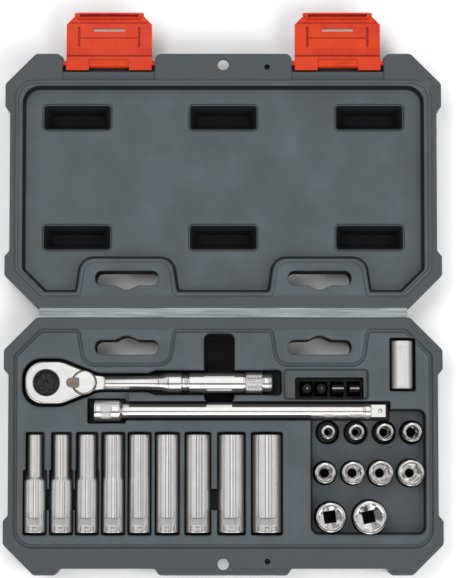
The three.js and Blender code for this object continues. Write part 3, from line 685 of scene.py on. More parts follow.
def innerCorners(side, front, rear, radius, padGrow=0.0):
    # inside the rim: chamfered at the hinge, rounded in front, going round both slot pads
    x, y = halfWidth - side, rearEdge - rear
    cutBack = case["rearChamfer"] - (side + rear) * (1 - math.sqrt(0.5))
    padFront = rearEdge - case["padDepth"] - padGrow
    share = rear / (case["padDepth"] + padGrow)
    foot = case["padFoot"] / 2 + padGrow
    top = case["padTop"] / 2 + padGrow
    atRear = foot + (top - foot) * share
    corners = [(-x, frontEdge + front, radius), (x, frontEdge + front, radius)]
    corners += [(x, y - cutBack, 2.5), (x - cutBack, y, 2.5)]
    for centre in (case["slotX"], -case["slotX"]):
        corners += [
            (centre + atRear, y, 2),
            (centre + top, padFront, 7),
            (centre - top, padFront, 7),
            (centre - atRear, y, 2),
        ]
    return corners + [(-x + cutBack, y, 2.5), (-x, y - cutBack, 2.5)]


def halfBlank(notched=False):
    # side walls with a rounded foot and a slightly rounded rim
    foot, edge = case["edgeRound"], case["rimRound"]
    profile = arc((foot, foot), foot, 270, 180, 6)
    profile += arc((edge, rim - edge), edge, 180, 90, 5)
    return loft(carried(halfCorners(notched), profile))


def slotCorners(centre):
    y, w, d = rearEdge - case["slotRear"], case["slotWidth"] / 2, case["slotDepth"] / 2
    return [
        (centre - w, y - d, 3.4),
        (centre + w, y - d, 3.4),
        (centre + w, y + d, 3.4),
        (centre + 6, y + d, 2),
        (centre + 1.5, y + d + 2.2, 2),
        (centre - 1.5, y + d + 2.2, 2),
        (centre - 6, y + d, 2),
        (centre - w, y + d, 3.4),
    ]


def sharedTools():
    thumb = rectangle(-case["thumb"], case["thumb"], frontEdge - 3, frontEdge + 10.5, 2.5)
    return [
        throughTool(slotCorners(-case["slotX"]), 0, rim, 0.9),
        throughTool(slotCorners(case["slotX"]), 0, rim, 0.9),
        loft(carried(thumb, [(0, -2), (0, rim - 6.5), (0.3, rim - 5.8), (1, rim - case["flange"])])),
        throughTool(around(0, frontEdge + 5.7, 3), rim - case["flange"], rim, 0.5),
    ]


def needleTool(x):
    # a small round socket for a pin in one half, met by the other half's
    mouth = around(x, frontEdge + case["needleFront"], 1.5)
    return loft(carried(mouth, [(0.5, rim - 5), (0, rim - 4.5), (0, rim + 2)]))


def ringSection(width, rise, low, side=1):
    # a low dome across a bead or groove, closed underneath
    half = width / 2
    angles = np.linspace(0, math.pi, 9)
    dome = [(-half * math.cos(a), side * rise * math.sin(a) ** 0.8) for a in angles]
    return dome + [(half, -side * low), (-half, -side * low)]


def beadRing(width, rise, low, side=1):
    # the dome carried round the rim; the path is the same on both halves, so they mate
    corners = innerCorners(case["beadInset"], case["beadFront"], case["beadRear"], 9, -1.1)
    section = ringSection(width, rise, low, side)
    if side > 0:
        section = section[::-1]
    rings = carried(corners, [(inset, rim + height) for inset, height in section], 8)
    return ringLoft(rings[::-1])


def deepPocket(size):
    # wide round the drive end and slimmer round the nose where the socket is stepped
    (x0, y0, z0), (x1, y1, _) = boxInMm("deep_socket_" + size)
    sideGap, endGap, waistAt = 0.7, 1.3, 32.5
    x, half = (x0 + x1) / 2, (x1 - x0) / 2 + sideGap
    slim = noseRadius(size) + endGap
    front, waist, rear = y0 - endGap, y0 + waistAt, y1 + endGap
    if half - slim < 0.3:
        corners = rectangle(x - half, x + half, front, rear, 1)
    else:
        right = [(x + half, front, 1), (x + half, waist, 1)]
        right += [(x + slim, waist, 0.8), (x + slim, rear, 1)]
        corners = mirrored(right, x)
    return pocketTool(corners, rim, z0 - 0.3, lip=1.1, draft=0.1)


def baseTools():
    tools = [deepPocket(size) for size in toolSizes[:9]]
    # finger notches through three of the dividers
    for left, right in (("5_32", "3_16"), ("3_16", "7_32"), ("11_32", "3_8")):
        x = (centreOf("deep_socket_" + left)[0] + centreOf("deep_socket_" + right)[0]) / 2 / mm
        tools.append(boxPocket(x - 3, x + 3, -33.2, -22.2, 0.5, rim, 14, 0.3, 0, 0.3))
    # the upright sockets' field and its wells
    fieldFloor = rim - case["fieldDepth"]
    tools.append(boxPocket(*case["field"], 4, rim, fieldFloor, 1.4, 0.6, 1.5))
    for size in toolSizes:
        low, high = boxInMm("short_socket_" + size)
        x, y, _ = centreOf("short_socket_" + size) / mm
        well = around(x, y, (high[0] - low[0]) / 2 + 0.65)
        tools.append(pocketTool(well, fieldFloor, low[2] - 0.3, 0.7, 0.1, 0.5, 10))
    # the bits' frame, slot and wells
    frameFloor, slotFloor = rim - case["frameDepth"], rim - case["bitSlotDepth"]
    tools.append(boxPocket(*case["bitFrame"], 2, rim, frameFloor, 1.2, 0.5, 0.8))
    tools.append(boxPocket(*case["bitSlot"], 1, frameFloor, slotFloor, 0.4, 0.2, 0.4))
    for bit in bits:
        x, y, _ = centreOf(bit) / mm
        tools.append(boxPocket(x - 3.45, x + 3.45, y - 3.9, y + 3.9, 0.5, slotFloor, 3.3, 0.2, 0, 0.3, 3))
    # the ratchet's pocket follows its head and handle
    hx, hy, _ = centreOf("drive_gear") / mm
    low, high = boxInMm("ratchet_body")
    end = high[0] + 4.5
    head, neck, shaft = 12.6, 5.0, 6.5
    lower = [
        (hx - head, hy - head, head),
        (hx + 8, hy - head, 16),
        (hx + 27, hy - neck, 12),
        (hx + 53, hy - neck, 3),
        (hx + 57, hy - shaft, 3),
        (end, hy - shaft, 2),
    ]
    shape = lower + [(x, 2 * hy - y, r) for x, y, r in reversed(lower)]
    tools.append(pocketTool(shape, rim, low[2] - 0.3, 2, 0.2, 1.2, 10))
    driveFloor = boxInMm("drive_ball")[0][2] - 2.4
    tools.append(pocketTool(around(hx, hy, 6.4), 13, driveFloor, 0.3, 0, 0.4, 8))
    # the extension's pocket, wider at its female end
    x0, x1 = boxInMm("extension_bar")[0][0], boxInMm("extension_bar")[1][0]
    _, y, z = centreOf("extension_bar") / mm
    tools.append(boxPocket(x0, x1 + 2, y - 5, y + 5, 1, rim, z - 4.7, 1, 0, 1))
    tools.append(boxPocket(x0 - 3.4, x0 + 16.6, y - 6.6, y + 6.6, 1, rim, z - 5.9, 0.8, 0, 1))
    # a shallow step between the two long tools
    tools.append(boxPocket(x0 - 3.4, x0 + 18, y - 3, hy - 4, 1, rim, rim - 6, 0.8, 0, 1))
    # the bit holder's pocket and the finger well over it
    (x0, y0, z0), (x1, y1, _) = boxInMm("bit_holder")
    gap = 1.4
    tools.append(boxPocket(x0 - gap, x1 + gap, y0 - gap, y1 + gap, 1, rim, z0 - 0.3, 0.9, 0))
    tools.append(boxPocket(*case["fingerWell"], 3, rim, 8, 1.1, 0.4, 2))
    return tools


def catchTools():
    # the ledge under each notch that a shut latch's hook holds
    half, front = case["notchHalf"], frontEdge + case["notchDepth"]
    return [
        slab(rectangle(x - half, x + half, front - 2, front + 2.6, 0.5), -2, 5.5)
        for x in (-case["latchX"], case["latchX"])
    ]


def insideRim(x, y):
    clear = np.abs(x) + np.abs(y) < halfWidth + rearEdge - case["rimChamfer"]
    return clear & (np.abs(x) < halfWidth - case["rimSide"]) & (y < rearEdge - case["rimRear"])


def insideBase(p):
    return insideRim(p[:, 0], np.abs(p[:, 1]))


def insideLid(p):
    # the lid's rim is wider in front, where only the needle's socket takes painted shade
    x, y = p[:, 0], lidPlace[1] / mm - p[:, 1]
    needle = np.hypot(x - case["needleX"], y - frontEdge - case["needleFront"]) < 2
    return insideRim(x, y) & ((y > frontEdge + case["beadFront"]) | needle)


def buildBase():
    tools = sharedTools() + [needleTool(case["needleX"])] + baseTools() + catchTools()
    tools.append(beadRing(case["beadWidth"] + 0.4, 1.5, 1.0, side=-1))
    mesh = cut(halfBlank(notched=True), tools)
    piece = finishPiece(mesh, "case_base_shell", "base", "case_plastic", casePlastic, "case_base", 40)
    # painted shade in the base's pockets, by depth
    paintPocketShade(piece, insideBase, (4, 17), (0.3, 4))
    return weigh(piece)


def bayCorners(x, half, rear):
    # a bay open at the front edge, with rounded corners at its mouth
    right = [
        (x + half + 8, frontEdge - 4, 0.1),
        (x + half + 8, frontEdge - 0.01, 0.1),
        (x + half, frontEdge - 0.01, 3.5),
        (x + half, frontEdge + rear, 0.8),
    ]
    return mirrored(right, x)


def buildLid():
    panelFloor = rim - case["panelDepth"]
    tools = sharedTools() + [needleTool(-case["needleX"])]
    tools.append(pocketTool(innerCorners(9.2, 17.0, 8.3, 9), rim, panelFloor, 0.5, 1.2, 1.2, 8))
    wide, long = case["dimpleHalf"]
    sides = [(4.6, 4.0), (3.9, 4.6), (0.5, panelFloor - 1.4)]
    sides += arc((-1.1, panelFloor - 1.1), 1.1, 0, 82, 5) + [(-0.95, panelFloor + 2)]
    for y in case["dimpleRows"]:
        for x in case["dimpleColumns"]:
            dimple = rectangle(x - wide, x + wide, y - long, y + long, 2.2)
            tools.append(loft(carried(dimple, sides)))
    pivotY, pivotZ = frontEdge + case["pivotFront"], rim - case["pivotDrop"]
    half, seatFloor = case["bayHalf"], pivotZ - 4.6
    for x in (-case["latchX"], case["latchX"]):
        tools.append(pocketTool(bayCorners(x, half, 9.6), rim, seatFloor, 0.4, 0, 0.6))
        tools.append(pocketTool(bayCorners(x, half, 14), rim, rim - 1.2, 0.4, 0, 0.4))
        tools.append(slab(bayCorners(x, half, 4), -3, seatFloor + 1))
        bore = lying(turnedRows([(1.69, -26.5), (1.69, 26.5)], 32), "x")
        tools.append(loft(bore + np.array([x, pivotY, pivotZ]) * mm))
    blank = meshShape(cut(halfBlank(), [beadRing(case["beadWidth"], case["beadHeight"], 1.0)], "UNION"))
    lid = meshShape(cut(blank, tools))
    verts, faces = placed(lid, math.pi, lidPlace)
    piece = newPiece("case_lid_shell", verts, faces, "lid", "case_plastic", casePlastic, "case_lid", 40)
    # painted shade in the lid's panel, dimples and bays, by depth
    paintPocketShade(piece, insideLid, (7, 11), (0.2, 2.5))
    return weigh(piece)


def buildHinge():
    # a thin web across the gap: a shallow wave along its width, closed round its edge
    low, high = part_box("living_hinge")
    across = np.linspace(low[1] - 0.3 * mm, high[1] + 0.3 * mm, 25)
    along = np.linspace(low[0], high[0], 60)
    t = (across - across[0]) / (across[-1] - across[0])
    top = high[2] - 0.35 * mm * np.sin(math.pi * t) - 0.12 * mm * np.cos(6 * math.pi * t)
    under = top - (0.75 - 0.4 * np.sin(math.pi * t)) * mm
    ys = np.concatenate([across, across[::-1]])
    zs = np.concatenate([under, top[::-1]])
    rings = np.stack([np.column_stack([np.full(len(ys), x), ys, zs]) for x in along])
    verts, faces = loft(rings)
    piece = newPiece("hinge_web", verts, faces, None, None, hingePlastic, "living_hinge")
    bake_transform(piece)
    return piece


buildBase()
buildLid()
buildHinge()
print("case built")


latch = {
    "width": 45,
    "reach": 27,
    "tipChamfer": 6,
    "plate": 2.4,
    "face": -1.6,
    "round": 0.3,
    "back": 3.8,
    "lip": 3.3,
}


def buildLatch(name):
    # a moulded plate with a hook lip, side tabs, a barrel and trunnions, about its pivot
    half, tip, face = latch["width"] / 2, -latch["reach"], latch["face"]
    under = face - latch["plate"]
    corner = latch["tipChamfer"]
    plate = [
        (-half + corner, tip, 0.6),
        (half - corner, tip, 0.6),
        (half, tip + corner, 0.6),
        (half, -1, 0.2),
        (-half, -1, 0.2),
        (-half, tip + corner, 0.6),
    ]
    hookHalf, back, over = half - corner, latch["back"], face + 3
    lip = rectangle(-hookHalf, hookHalf, tip, tip + latch["lip"], 0.3)
    parts = [
        loft(carried(lip, [(0, under + 0.2), (0, face + 1.8), (0.3, face + 2.2)], 3)),
        slab(rectangle(-half, half, -3.3, back, 0.5), under + 0.4, over),
    ]
    for x in (-half, half):
        trunnion = lying(turnedRows([(1.3, -3.7), (1.3, 3.7)], 32), "x")
        parts.append(loft(trunnion + np.array([x * mm, 0, 0])))
        tab = rectangle(x * 0.76 - 1.2, x * 0.76 + 1.2, tip, tip + 2, 0.5)
        parts.append(slab(tab, under + 0.5, face + 0.6))
    # x from and to, y from and to, corner radius, z from and to
    cuts = [
        (-8.25, 8.25, tip + 8.2, tip + 9.8, 0.5, under - 2, over),
        (-half + 6, -half + 7.3, tip + 7.5, -9, 0.3, face - 1.1, over),
        (half - 7.3, half - 6, tip + 7.5, -9, 0.3, face - 1.1, over),
        (-half + 6, half - 6, tip + 13, tip + 13.6, 0.2, face - 0.8, over),
        (-half - 1, half + 1, tip + 4.9, tip + 5.6, 0.2, face - 0.8, over),
        (-hookHalf + 1, hookHalf - 1, tip + 0.9, tip + 2.6, 0.3, face - 0.9, over),
        (-10.6, 10.6, 2.0, back + 2, 0.5, under - 2, face + 4),
        (-half - 1, half + 1, -4.5, -3.7, 0.1, face - 0.8, face + 4),
    ]
    holes = [slab(rectangle(*sides), bottom, top) for *sides, bottom, top in cuts]
    barrel = loft(lying(turnedRows([(2.2, -10.25), (2.6, -9.9), (2.6, 9.9), (2.2, 10.25)], 32), "x"))
    blank = loft(carried(plate, [(0.3, under), (0, under + 0.3), (0, face)], 3))
    solid = meshShape(cut(blank, parts, "UNION"))
    shape = meshShape(cut(meshShape(cut(solid, holes)), [barrel], "UNION"))
    low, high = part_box(name)
    pivotY = lidPlace[1] - (frontEdge + case["pivotFront"]) * mm
    pivot = ((low[0] + high[0]) / 2, pivotY, rimZ - case["pivotDrop"] * mm)
    verts, faces = placed(shape, math.pi, pivot)
    piece = newPiece(name + "_moulding", verts, faces, name, "latch_plastic", latchPlastic, name, 30)
    # painted shade in the latch's channels, by depth
    paintPocketShade(piece, lambda p: np.abs(p[:, 0]) > 0, (5.4, 6.4), (4.6, 6.5))
    change = piece.modifiers.new("edges", "BEVEL")
    change.width = latch["round"] * mm
    change.segments = 2
    change.limit_method = "ANGLE"
    change.angle_limit = math.radians(40)
    change.harden_normals = True
    return piece


buildLatch("latch_left")
buildLatch("latch_right")
print("latches built")


socket = {
    "shortEnd": 9,
    "deepEnd": 26.5,
    "taper": 2,
    "deepTaper": 3,
    "chamfer": 0.6,
    "hexDepth": 14,
    "driveDepth": 8.5,
    "driveSquare": 6.5,
    "band": (3.6, 7.6),
    "pitch": 1.3,
    "knurl": 0.2,
    "mark": (2.1, 0.85, 0.45),  # pin mark by a deep socket's drive end: height, radius, depth
    # degrees that an upright socket stands turned in its well
    "turned": {"7_16": 8, "1_2": 13, "3_8": 20, "11_32": 9, "9_32": 25, "1_4": 12},
}


def socketRings(size, length, radius, nose):
    # outside up from the drive end, over the nose, and down inside: hexagon, core, square
    c = socket["chamfer"]
    hexInner, squareInner = numberOf(size) * 25.4 / 2, socket["driveSquare"] / 2
    core = min(hexInner * 0.76, 2.3)
    hexFloor = length - socket["hexDepth"]
    deep = length > 30
    endLength = socket["deepEnd"] if deep else socket["shortEnd"]
    rows = [(squareInner + 0.35, 0, squareShape), (radius - c, 0)]
    rows += [(radius - 0.25 * c, 0.25 * c), (radius, c)]
    rows += [(radius, z) for z in np.linspace(c + 0.3, socket["band"][1] + 0.5, 34)]
    if radius > nose + 0.05:
        t = np.linspace(0, 1, 7)[1:]
        taper = socket["deepTaper"] if deep else socket["taper"]
        rows.append((radius, endLength))
        rows += [(radius + (nose - radius) * smoothstep(0, 1, k), endLength + taper * k) for k in t]
    rows += [(nose, length - c), (nose - 0.25 * c, length - 0.25 * c), (nose - c, length)]
    solidRows = len(rows)
    rows += [
        (hexInner * 1.155 + 0.12, length, polarCircle),
        (hexInner * 1.03, length - 0.55, polarCircle),
        (hexInner, length - 0.8, hexShape),
        (hexInner, hexFloor, hexShape),
    ]
    if hexInner < squareInner * 1.5:
        # a dished floor down to a small round core, then the square
        rows += [(core + 0.4, hexFloor - 0.6), (core, hexFloor - 0.9), (core, socket["driveDepth"] + 0.3)]
        rows.append((squareInner, socket["driveDepth"], squareShape))
    else:
        rows.append((squareInner, hexFloor - 0.6, squareShape))
    rows.append((squareInner, 0.35, squareShape))
    rings = turnedRows(rows, 144)
    outer = knurl(rings[:solidRows], *socket["band"], socket["pitch"], socket["knurl"])
    if deep:
        # a dimple: the surface sinks within a radius of the pin mark's centre
        height, wide, sunk = socket["mark"]
        x, y, z = outer[..., 0], outer[..., 1], outer[..., 2]
        away = np.hypot(x, z - height * mm) / mm + (y > 0) * 100
        scale = 1 - sunk * (1 - smoothstep(wide * 0.5, wide, away)) / radius
        outer[..., 0], outer[..., 1] = x * scale, y * scale
    return np.concatenate([outer, rings[solidRows:]])


def buildSocket(name, size, lies):
    low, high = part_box(name)
    radius = (high[0] - low[0]) / 2 / mm
    length = (high[1] - low[1] if lies else high[2] - low[2]) / mm
    nose = noseRadius(size)
    rings = socketRings(size, length, max(radius, nose), nose)
    turn = 0 if lies else math.radians(socket["turned"].get(size, 0))
    verts, faces = placed(ringLoft(rings), turn)
    verts = laidIn(name, verts, "y" if lies else "z")
    material = chromeAlongY if lies else chromeUpright
    return newPiece(name + "_body", verts, faces, name, "chrome_plate", material, name, 28)


for size in toolSizes[:9]:
    buildSocket("deep_socket_" + size, size, True)
for size in toolSizes:
    buildSocket("short_socket_" + size, size, False)
print("sockets built")


ratchet = {
    "headRadius": 11.1,
    "headHalf": 5.25,
    "leverX": 19.8,
    "leverRadius": 6.2,
    "knurled": (104.2, 112.8),
    "knurlPitch": 1.7,
    "knurlHeight": 0.5,
}


def handleRows():
    # neck, flare, collar, ringed groove, grip, knurled ring and end cap, along the handle
    rows = [(3.4, 24), (3.55, 30), (3.7, 40), (3.85, 52), (3.95, 58)]
    rows += [(3.95 + 1.25 * float(smoothstep(58, 64, z)), z) for z in np.linspace(58.6, 63.6, 8)]
    rows += [(5.2, 64.2), (5.2, 70.2), (5.0, 70.5), (4.35, 70.7), (4.3, 71), (4.3, 72.1)]
    rows += [(4.75, 72.3), (4.8, 72.55), (4.75, 72.8), (4.3, 73), (4.3, 74.2), (4.4, 74.4)]
    rows += [(5.05, 74.6), (5.2, 74.9), (5.2, 102.8), (5.1, 103.1), (4.7, 103.3), (4.7, 103.7)]
    rows += [(5.4, 103.9), (5.7, 104.2)]
    rows += [(5.7, z) for z in np.linspace(104.4, 112.5, 44)]
    rows += [(5.4, 112.8), (4.7, 113), (4.6, 113.4), (4.6, 113.9), (4.75, 114.1)]
    rows += [(4.75, 116.8), (4.5, 117.5), (3.9, 118), (3.0, 118.2)]
    return rows


def buildRatchet():
    half, head = ratchet["headHalf"], ratchet["headRadius"]
    place = np.array([*centreOf("drive_gear")[:2], (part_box("pawl")[0][2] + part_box("pawl")[1][2]) / 2])
    lower = [(-head, -head, head), (8, -head, 16), (25.5, -4, 7), (31, -3.4, 2)]
    shape = lower + [(x, -y, r) for x, y, r in reversed(lower)]
    spindle = np.array([ratchet["leverX"], 0, 0]) * mm
    # a shadow gap round the lever's button
    section = [(6.05, half - 1.6), (6.65, half - 1.6), (6.65, half + 1), (6.05, half + 1)]
    ringGroove = ringLoft(turnedRows(section[::-1], 96) + spindle)
    edge = 1.1
    profile = arc((edge, -half + edge), edge, 270, 180, 5) + arc((edge, half - edge), edge, 180, 90, 5)
    headShape = loft(carried(shape, profile, 12))
    handle = turnedRows(handleRows(), 144)
    handle = knurl(handle, *ratchet["knurled"], ratchet["knurlPitch"], ratchet["knurlHeight"])
    tools = [
        loft(turnedRows([(6.9, -3.9), (6.9, 4.9), (7.3, 5.3), (7.3, 8)], 96)),
        loft(turnedRows([(5.03, -8), (5.03, -3)], 64)),
        loft(turnedRows([(7.4, 3.9), (7.4, 4.7)], 96)),
        slab(rectangle(0, 14.2, -5.3, 5.3, 0.5), -3.6, 3.6),
        slab(rectangle(12.4, 21.87, -3.6, 3.6, 0.5), -2.4, 2.4),
        loft(turnedRows([(2.07, -2.4), (2.07, 9)], 48) + spindle),
        ringGroove,
        loft(turnedRows([(6.65, half - 0.2), (6.65, half + 2)], 96) + spindle),
    ]
    whole = meshShape(cut(headShape, [loft(lying(handle, "x"))], "UNION"))
    verts, faces = meshShape(cut(whole, tools))
    verts = verts + place
    body = "ratchet", "chrome_plate", chromeAlongX
    weigh(newPiece("ratchet_forging", verts, faces, *body, "ratchet_body", 30))
    return place


def buildGear(place):
    # twenty teeth round a stepped disc, with the drive square below
    angle = np.linspace(0, 2 * math.pi, 240, endpoint=False)
    tooth = 1 - 0.053 * (0.5 - 0.5 * np.cos(20 * angle)) ** 0.7

    def toothed(_):
        return tooth

    rows = [(2.9, -12.65, squareShape), (3.175, -12.2, squareShape), (3.175, -5.6, squareShape)]
    rows += [(3.175, -5.25, squareShape), (4.95, -5.25), (4.95, -3.6)]
    rows += [(6.2, -3.6, toothed), (6.6, -3.3, toothed), (6.6, 3.3, toothed), (6.2, 3.6, toothed)]
    rows += [(5.7, 3.6), (5.6, 3.3), (4.9, 3.2), (4.8, 3.5)]
    rows += [(1.6, 3.5), (1.5, 3.2), (0.9, 3.1)]
    verts, faces = loft(turnedRows(rows, 240))
    newPiece("gear_teeth", verts + place, faces, "gear", "dark_steel", darkSteel, "drive_gear", 25)


def buildRing(place):
    # a snap ring bent round most of a circle, lugs at its gap
    angle = np.linspace(0.12, 2 * math.pi - 0.12, 97) + math.pi
    width = 0.85 + 0.5 * np.exp(-((np.minimum(angle - angle[0], angle[-1] - angle) / 0.14) ** 2))
    outer, z0, z1 = 7.15, 4.05, 4.6
    corners = [(outer, z0), (outer, z1), (None, z1), (None, z0)]
    rings = []
    for radius, z in corners:
        r = np.full_like(angle, radius) if radius else outer - width
        rings.append(np.column_stack([r * np.cos(angle), r * np.sin(angle), np.full_like(angle, z)]))
    rings = np.stack(rings, 1)[::-1] * mm
    verts, faces = loft(rings)
    newPiece("snap_ring", verts + place, faces, "ratchet", "dark_steel", darkSteel, "retaining_ring")


def buildLever(place):
    # a flat button with a raised thumb tab that points at the gear, on its spindle
    top, half = ratchet["leverRadius"], ratchet["headHalf"]
    low = half + 0.1
    rows = [(top - 0.3, low), (top, low + 0.3), (top, low + 1)]
    rows += [(top - 0.5, low + 1.5), (top - 1, low + 1.6)]
    button = loft(turnedRows(rows, 96))
    tab = [(-9.3, -2.3, 2.2), (-2.4, -2.85, 1.4), (-2.4, 2.85, 1.4), (-9.3, 2.3, 2.2)]
    profile = [(0.2, low + 0.2), (0, low + 0.5), (0, low + 1.8), (0.3, low + 2.2), (0.8, low + 2.4)]
    tabShape = loft(carried(tab, profile))
    spindle = loft(turnedRows([(2.0, -2), (2.0, low + 0.6)], 48))
    groove = [slab(rectangle(x, x + 0.5, -2.2, 2.2, 0.2), low + 2.1, low + 4) for x in (-7.6, -6.4, -5.2)]
    bore = loft(lying(turnedRows([(1.15, -3), (1.15, 1.4)], 32), "x"))
    shape = meshShape(cut(button, [tabShape, spindle], "UNION"))
    verts, faces = meshShape(cut(shape, [bore] + groove))
    spot = place + np.array([ratchet["leverX"], 0, 0]) * mm
    body = "lever", "chrome_plate", chromeAlongX
    piece = weigh(newPiece("lever_button", verts + spot, faces, *body, "reversing_lever", 30))
    # the tab has its own worn plate: faces beyond the button's middle and above its top
    mesh = piece.data
    mesh.materials.append(wornPlate)
    away = faceData(mesh, "center") - spot
    onTab = (away[:, 0] < -2.3 * mm) & (away[:, 2] > (low + 1.61) * mm)
    mesh.polygons.foreach_set("material_index", onTab.astype(np.int32))


def buildBall(name, body):
    # a polished detent ball: latitude rings with both poles closed
    low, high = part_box(body)
    radius = (high[0] - low[0]) / 2 / mm
    lat = np.linspace(-math.pi / 2, math.pi / 2, 25)[1:-1]
    rings = turnedRows([(radius * math.cos(a), radius * math.sin(a)) for a in lat], 48)
    verts, faces = loft(rings)
    newPiece(name, verts + centreOf(body), faces, body, "chrome_plate", chromeAlongX, body, 60)


ratchetPlace = buildRatchet()
buildGear(ratchetPlace)
buildRing(ratchetPlace)
buildLever(ratchetPlace)
buildBall("drive_detent", "drive_ball")
buildBall("extension_detent", "extension_ball")
print("ratchet built")


def buildExtension():
    low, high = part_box("extension_bar")
    length = (high[0] - low[0]) / mm
    shoulder = length - 8
    square = 3.175
    rows = [(3.6, 0, squareShape), (5.1, 0), (5.5, 0.15), (5.6, 0.6)]
    rows += [(5.6, z) for z in np.linspace(0.9, 12.8, 50)]
    rows += [(5.6 - 1.7 * float(smoothstep(12.8, 15.2, z)), z) for z in np.linspace(13.1, 15.2, 8)]
    rows += [(3.9, 15.6), (3.9, 80), (3.9, shoulder - 4.4)]
    for t in np.linspace(0.15, 1, 6):
        rows.append((3.9 + 0.35 * float(smoothstep(0, 1, t)), shoulder - 4.4 + 1.8 * t))
    rows += [(4.25, shoulder - 0.4), (4.0, shoulder)]
    rows += [(square + 0.2, shoulder, squareShape), (square, shoulder + 0.3, squareShape)]
    rows += [(square, length - 0.5, squareShape), (square - 0.45, length, squareShape)]
    outer = knurl(turnedRows(rows, 144), 3.2, 9.2, 1.1, 0.24)
    inner = turnedRows([(3.25, 8.5, squareShape), (3.25, 0.4, squareShape)], 144)
    verts, faces = loft(np.concatenate([inner, outer]))
    verts = laidIn("extension_bar", verts, "x")
    body = "extension", "chrome_plate", chromeAlongX
    newPiece("extension_shaft", verts, faces, *body, "extension_bar", 28)


def buildHolder():
    low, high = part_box("bit_holder")
    length = (high[1] - low[1]) / mm
    rows = [(3.25, 8.5, squareShape), (3.25, 0.4, squareShape), (3.6, 0, squareShape)]
    rows += [(5.0, 0), (5.4, 0.15), (5.5, 0.6)]
    rows += [(5.5, z) for z in np.linspace(0.9, length - 0.9, 60)]
    rows += [(5.4, length - 0.15), (5.0, length)]
    rows += [(3.9, length), (3.35, length - 0.5, hexShape), (3.225, length - 0.7, hexShape)]
    rows += [(3.225, length - 13, hexShape)]
    verts, faces = loft(knurl(turnedRows(rows, 144), 3.0, 8.5, 1.1, 0.22))
    verts = laidIn("bit_holder", verts, "-y")
    body = "bit_holder", "chrome_plate", chromeHolder
    newPiece("bit_holder_body", verts, faces, *body, "bit_holder", 28)


def phillipsShape(depth):
    # a cross: the radius dips between four wings
    def shape(angle):
        return 1 - depth * np.abs(np.sin(2 * angle)) ** 0.6

    return shape


def bladeShape(width, thickness):
    # a rectangle's outline about its centre, in units of its half width
    def shape(angle):
        c, s = np.abs(np.cos(angle)) + 1e-6, np.abs(np.sin(angle)) + 1e-6
        return np.minimum(1 / c, thickness / width / s)

    return shape


def buildBit(name, kind, tip):
    low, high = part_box(name)
    length = (high[2] - low[2]) / mm
    rows = [(2.6, 0, hexShape), (3.175, 0.7, hexShape), (3.175, 14.2, hexShape), (2.95, 15.2), (2.6, 16)]
    if kind == "phillips":
        rows += [(2.6, length - 6.5), (2.6, length - 5.6, phillipsShape(0.15))]
        rows.append((2.5, length - 4.6, phillipsShape(0.45)))
        for t in np.linspace(0.1, 1, 6):
            rows.append((2.3 * (1 - t) + tip * t, length - 4 * (1 - t), phillipsShape(0.62)))
        rows.append((tip * 0.4, length))
    else:
        rows += [(2.4, length - 8.5), (2.45, length - 7, bladeShape(2.45, 2.1))]
        for t in np.linspace(0.1, 1, 7):
            wide = 2.5 + (tip / 2 - 2.5) * t
            rows.append((wide, length - 6.5 + 6.2 * t, bladeShape(wide, 1.9 - 1.4 * t)))
        rows.append((tip / 2 - 0.15, length, bladeShape(tip / 2, 0.42)))
    verts, faces = loft(turnedRows(rows, 96))
    verts = laidIn(name, verts, "z")
    newPiece(name + "_body", verts, faces, name, "dark_steel", bitSteel, name, 30)


buildExtension()
buildHolder()
for name, (kind, tip) in bits.items():
    buildBit(name, kind, tip)
# the mechanism's inner parts are the CAD's own bodies, in dark steel
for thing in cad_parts.values():
    if not thing.hide_render:
        thing.data.materials.clear()
        thing.data.materials.append(darkSteel)
print("bits built")


studio = {
    "world": 2.2,
    # brightness of the tent at angles in degrees from overhead: towards the front and across
    "tent": [
        *((-90, 0.3), (-40, 0.4), (3, 0.36), (5, 0.03), (20, 0.03)),
        *((24, 0.34), (36, 0.8), (56, 0.8), (68, 0.08)),
    ],
    "across": [
        *((-90, 0.6), (-78, 0.9), (-74, 0.3), (-66, 0.3), (-62, 0.95), (-30, 1.05), (-18, 1.0)),
        *((-15, 0.2), (-8, 0.25), (-5, 1.5), (6, 1.5), (9, 0.25), (15, 0.3), (18, 0.95)),
        *((32, 1.05), (35, 0.35), (43, 0.35), (47, 1.1), (90, 0.5)),
    ],
    "tint": (0.97, 0.985, 1),
    "key": 7,
    "keyPlace": (-0.4, 0.35, 1.4),
    "fill": 7,
    "fillPlace": (0.7, -0.3, 1.1),
    "aim": (0, 0.07, 0),
    "cameraDistance": 1.3,
    "cameraTilt": 4.1,
    "lookAt": (3.28, 81.85, 25),
    "lens": 155.0242,
}


def buildFloor():
    reach, count = 3, 9
    t = np.linspace(-reach, reach, count)
    x, y = np.meshgrid(t, t)
    verts = np.stack([x, y, np.zeros_like(x)], -1)
    mesh = newMesh("floor", verts, gridFaces(count, count, closeColumns=False))
    floor = newObject("floor", mesh)
    made, tree, shader, coords = newMaterial("matt_white_paper", {"Roughness": 0.9})
    tone = noise(tree, coords, 40 * mm, 2)
    colours = [(0.2, linear("#fafafa")), (0.8, linear("#ffffff"))]
    join(tree, shader, ramp(tree, tone, colours), None)
    mesh.materials.append(made)


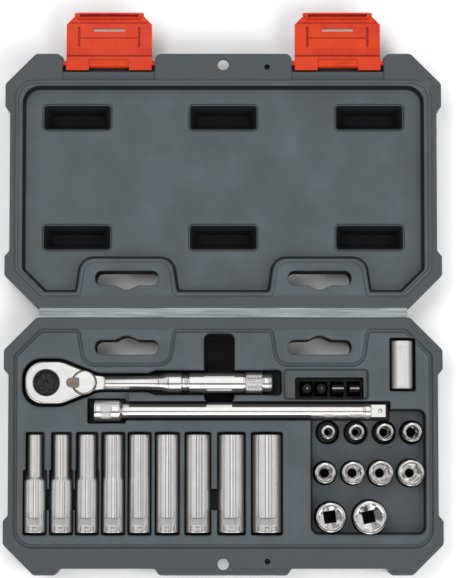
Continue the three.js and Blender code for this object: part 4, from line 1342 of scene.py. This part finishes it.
def areaLight(name, place, aim, size, power):
    light = bpy.data.lights.new(name, "AREA")
    light.shape = "RECTANGLE"
    light.size, light.size_y = size
    light.energy = power
    lamp = newObject(name, light)
    lamp.location = place
    lamp.visible_glossy = False  # the steel mirrors only the tent, so its lines run true
    direction = Vector(aim) - Vector(place)
    lamp.rotation_euler = direction.to_track_quat("-Z", "Y").to_euler()


def buildCamera():
    camera = bpy.data.cameras.new("camera")
    camera.lens = studio["lens"]
    camera.sensor_fit = "VERTICAL"
    camera.sensor_height = 36
    eye = newObject("camera", camera)
    tilt = math.radians(studio["cameraTilt"])
    aim = np.array(studio["lookAt"]) * mm
    eye.location = aim + studio["cameraDistance"] * np.array([0, -math.sin(tilt), math.cos(tilt)])
    eye.rotation_euler = (tilt, 0, 0)
    bpy.context.scene.camera = eye


def buildWorld():
    # a white tent: one ramp by the angle towards the front times one by the angle across
    world = bpy.data.worlds.new("studio")
    world.use_nodes = True
    tree = world.node_tree
    direction = node(tree, "TexCoord").outputs["Generated"]
    parts = split(tree, direction)
    front = arithmetic(tree, "MULTIPLY", parts["Y"], -1.0)
    both = node(tree, "Mix", {"data_type": "RGBA", "blend_type": "MULTIPLY", 0: 1.0})
    ramps = ((front, studio["tent"], studio["tint"]), (parts["X"], studio["across"], (1, 1, 1)))
    for k, (side, levels, tint) in enumerate(ramps):
        angle = arithmetic(tree, "ARCTAN2", side, parts["Z"])
        share = mapped(tree, angle, -math.pi / 2, math.pi / 2)
        stops = [((degrees + 90) / 180, [v * c for c in tint]) for degrees, v in levels]
        tree.links.new(ramp(tree, share, stops), both.inputs[6 + k])
    background = tree.nodes["Background"].inputs
    tree.links.new(both.outputs[2], background["Color"])
    background["Strength"].default_value = studio["world"]
    bpy.context.scene.world = world


buildFloor()
buildWorld()
bpy.context.scene.view_settings.view_transform = "Standard"
areaLight("key", studio["keyPlace"], studio["aim"], (0.9, 0.5), studio["key"])
areaLight("fill", studio["fillPlace"], studio["aim"], (0.6, 0.6), studio["fill"])
buildCamera()
print("studio built")
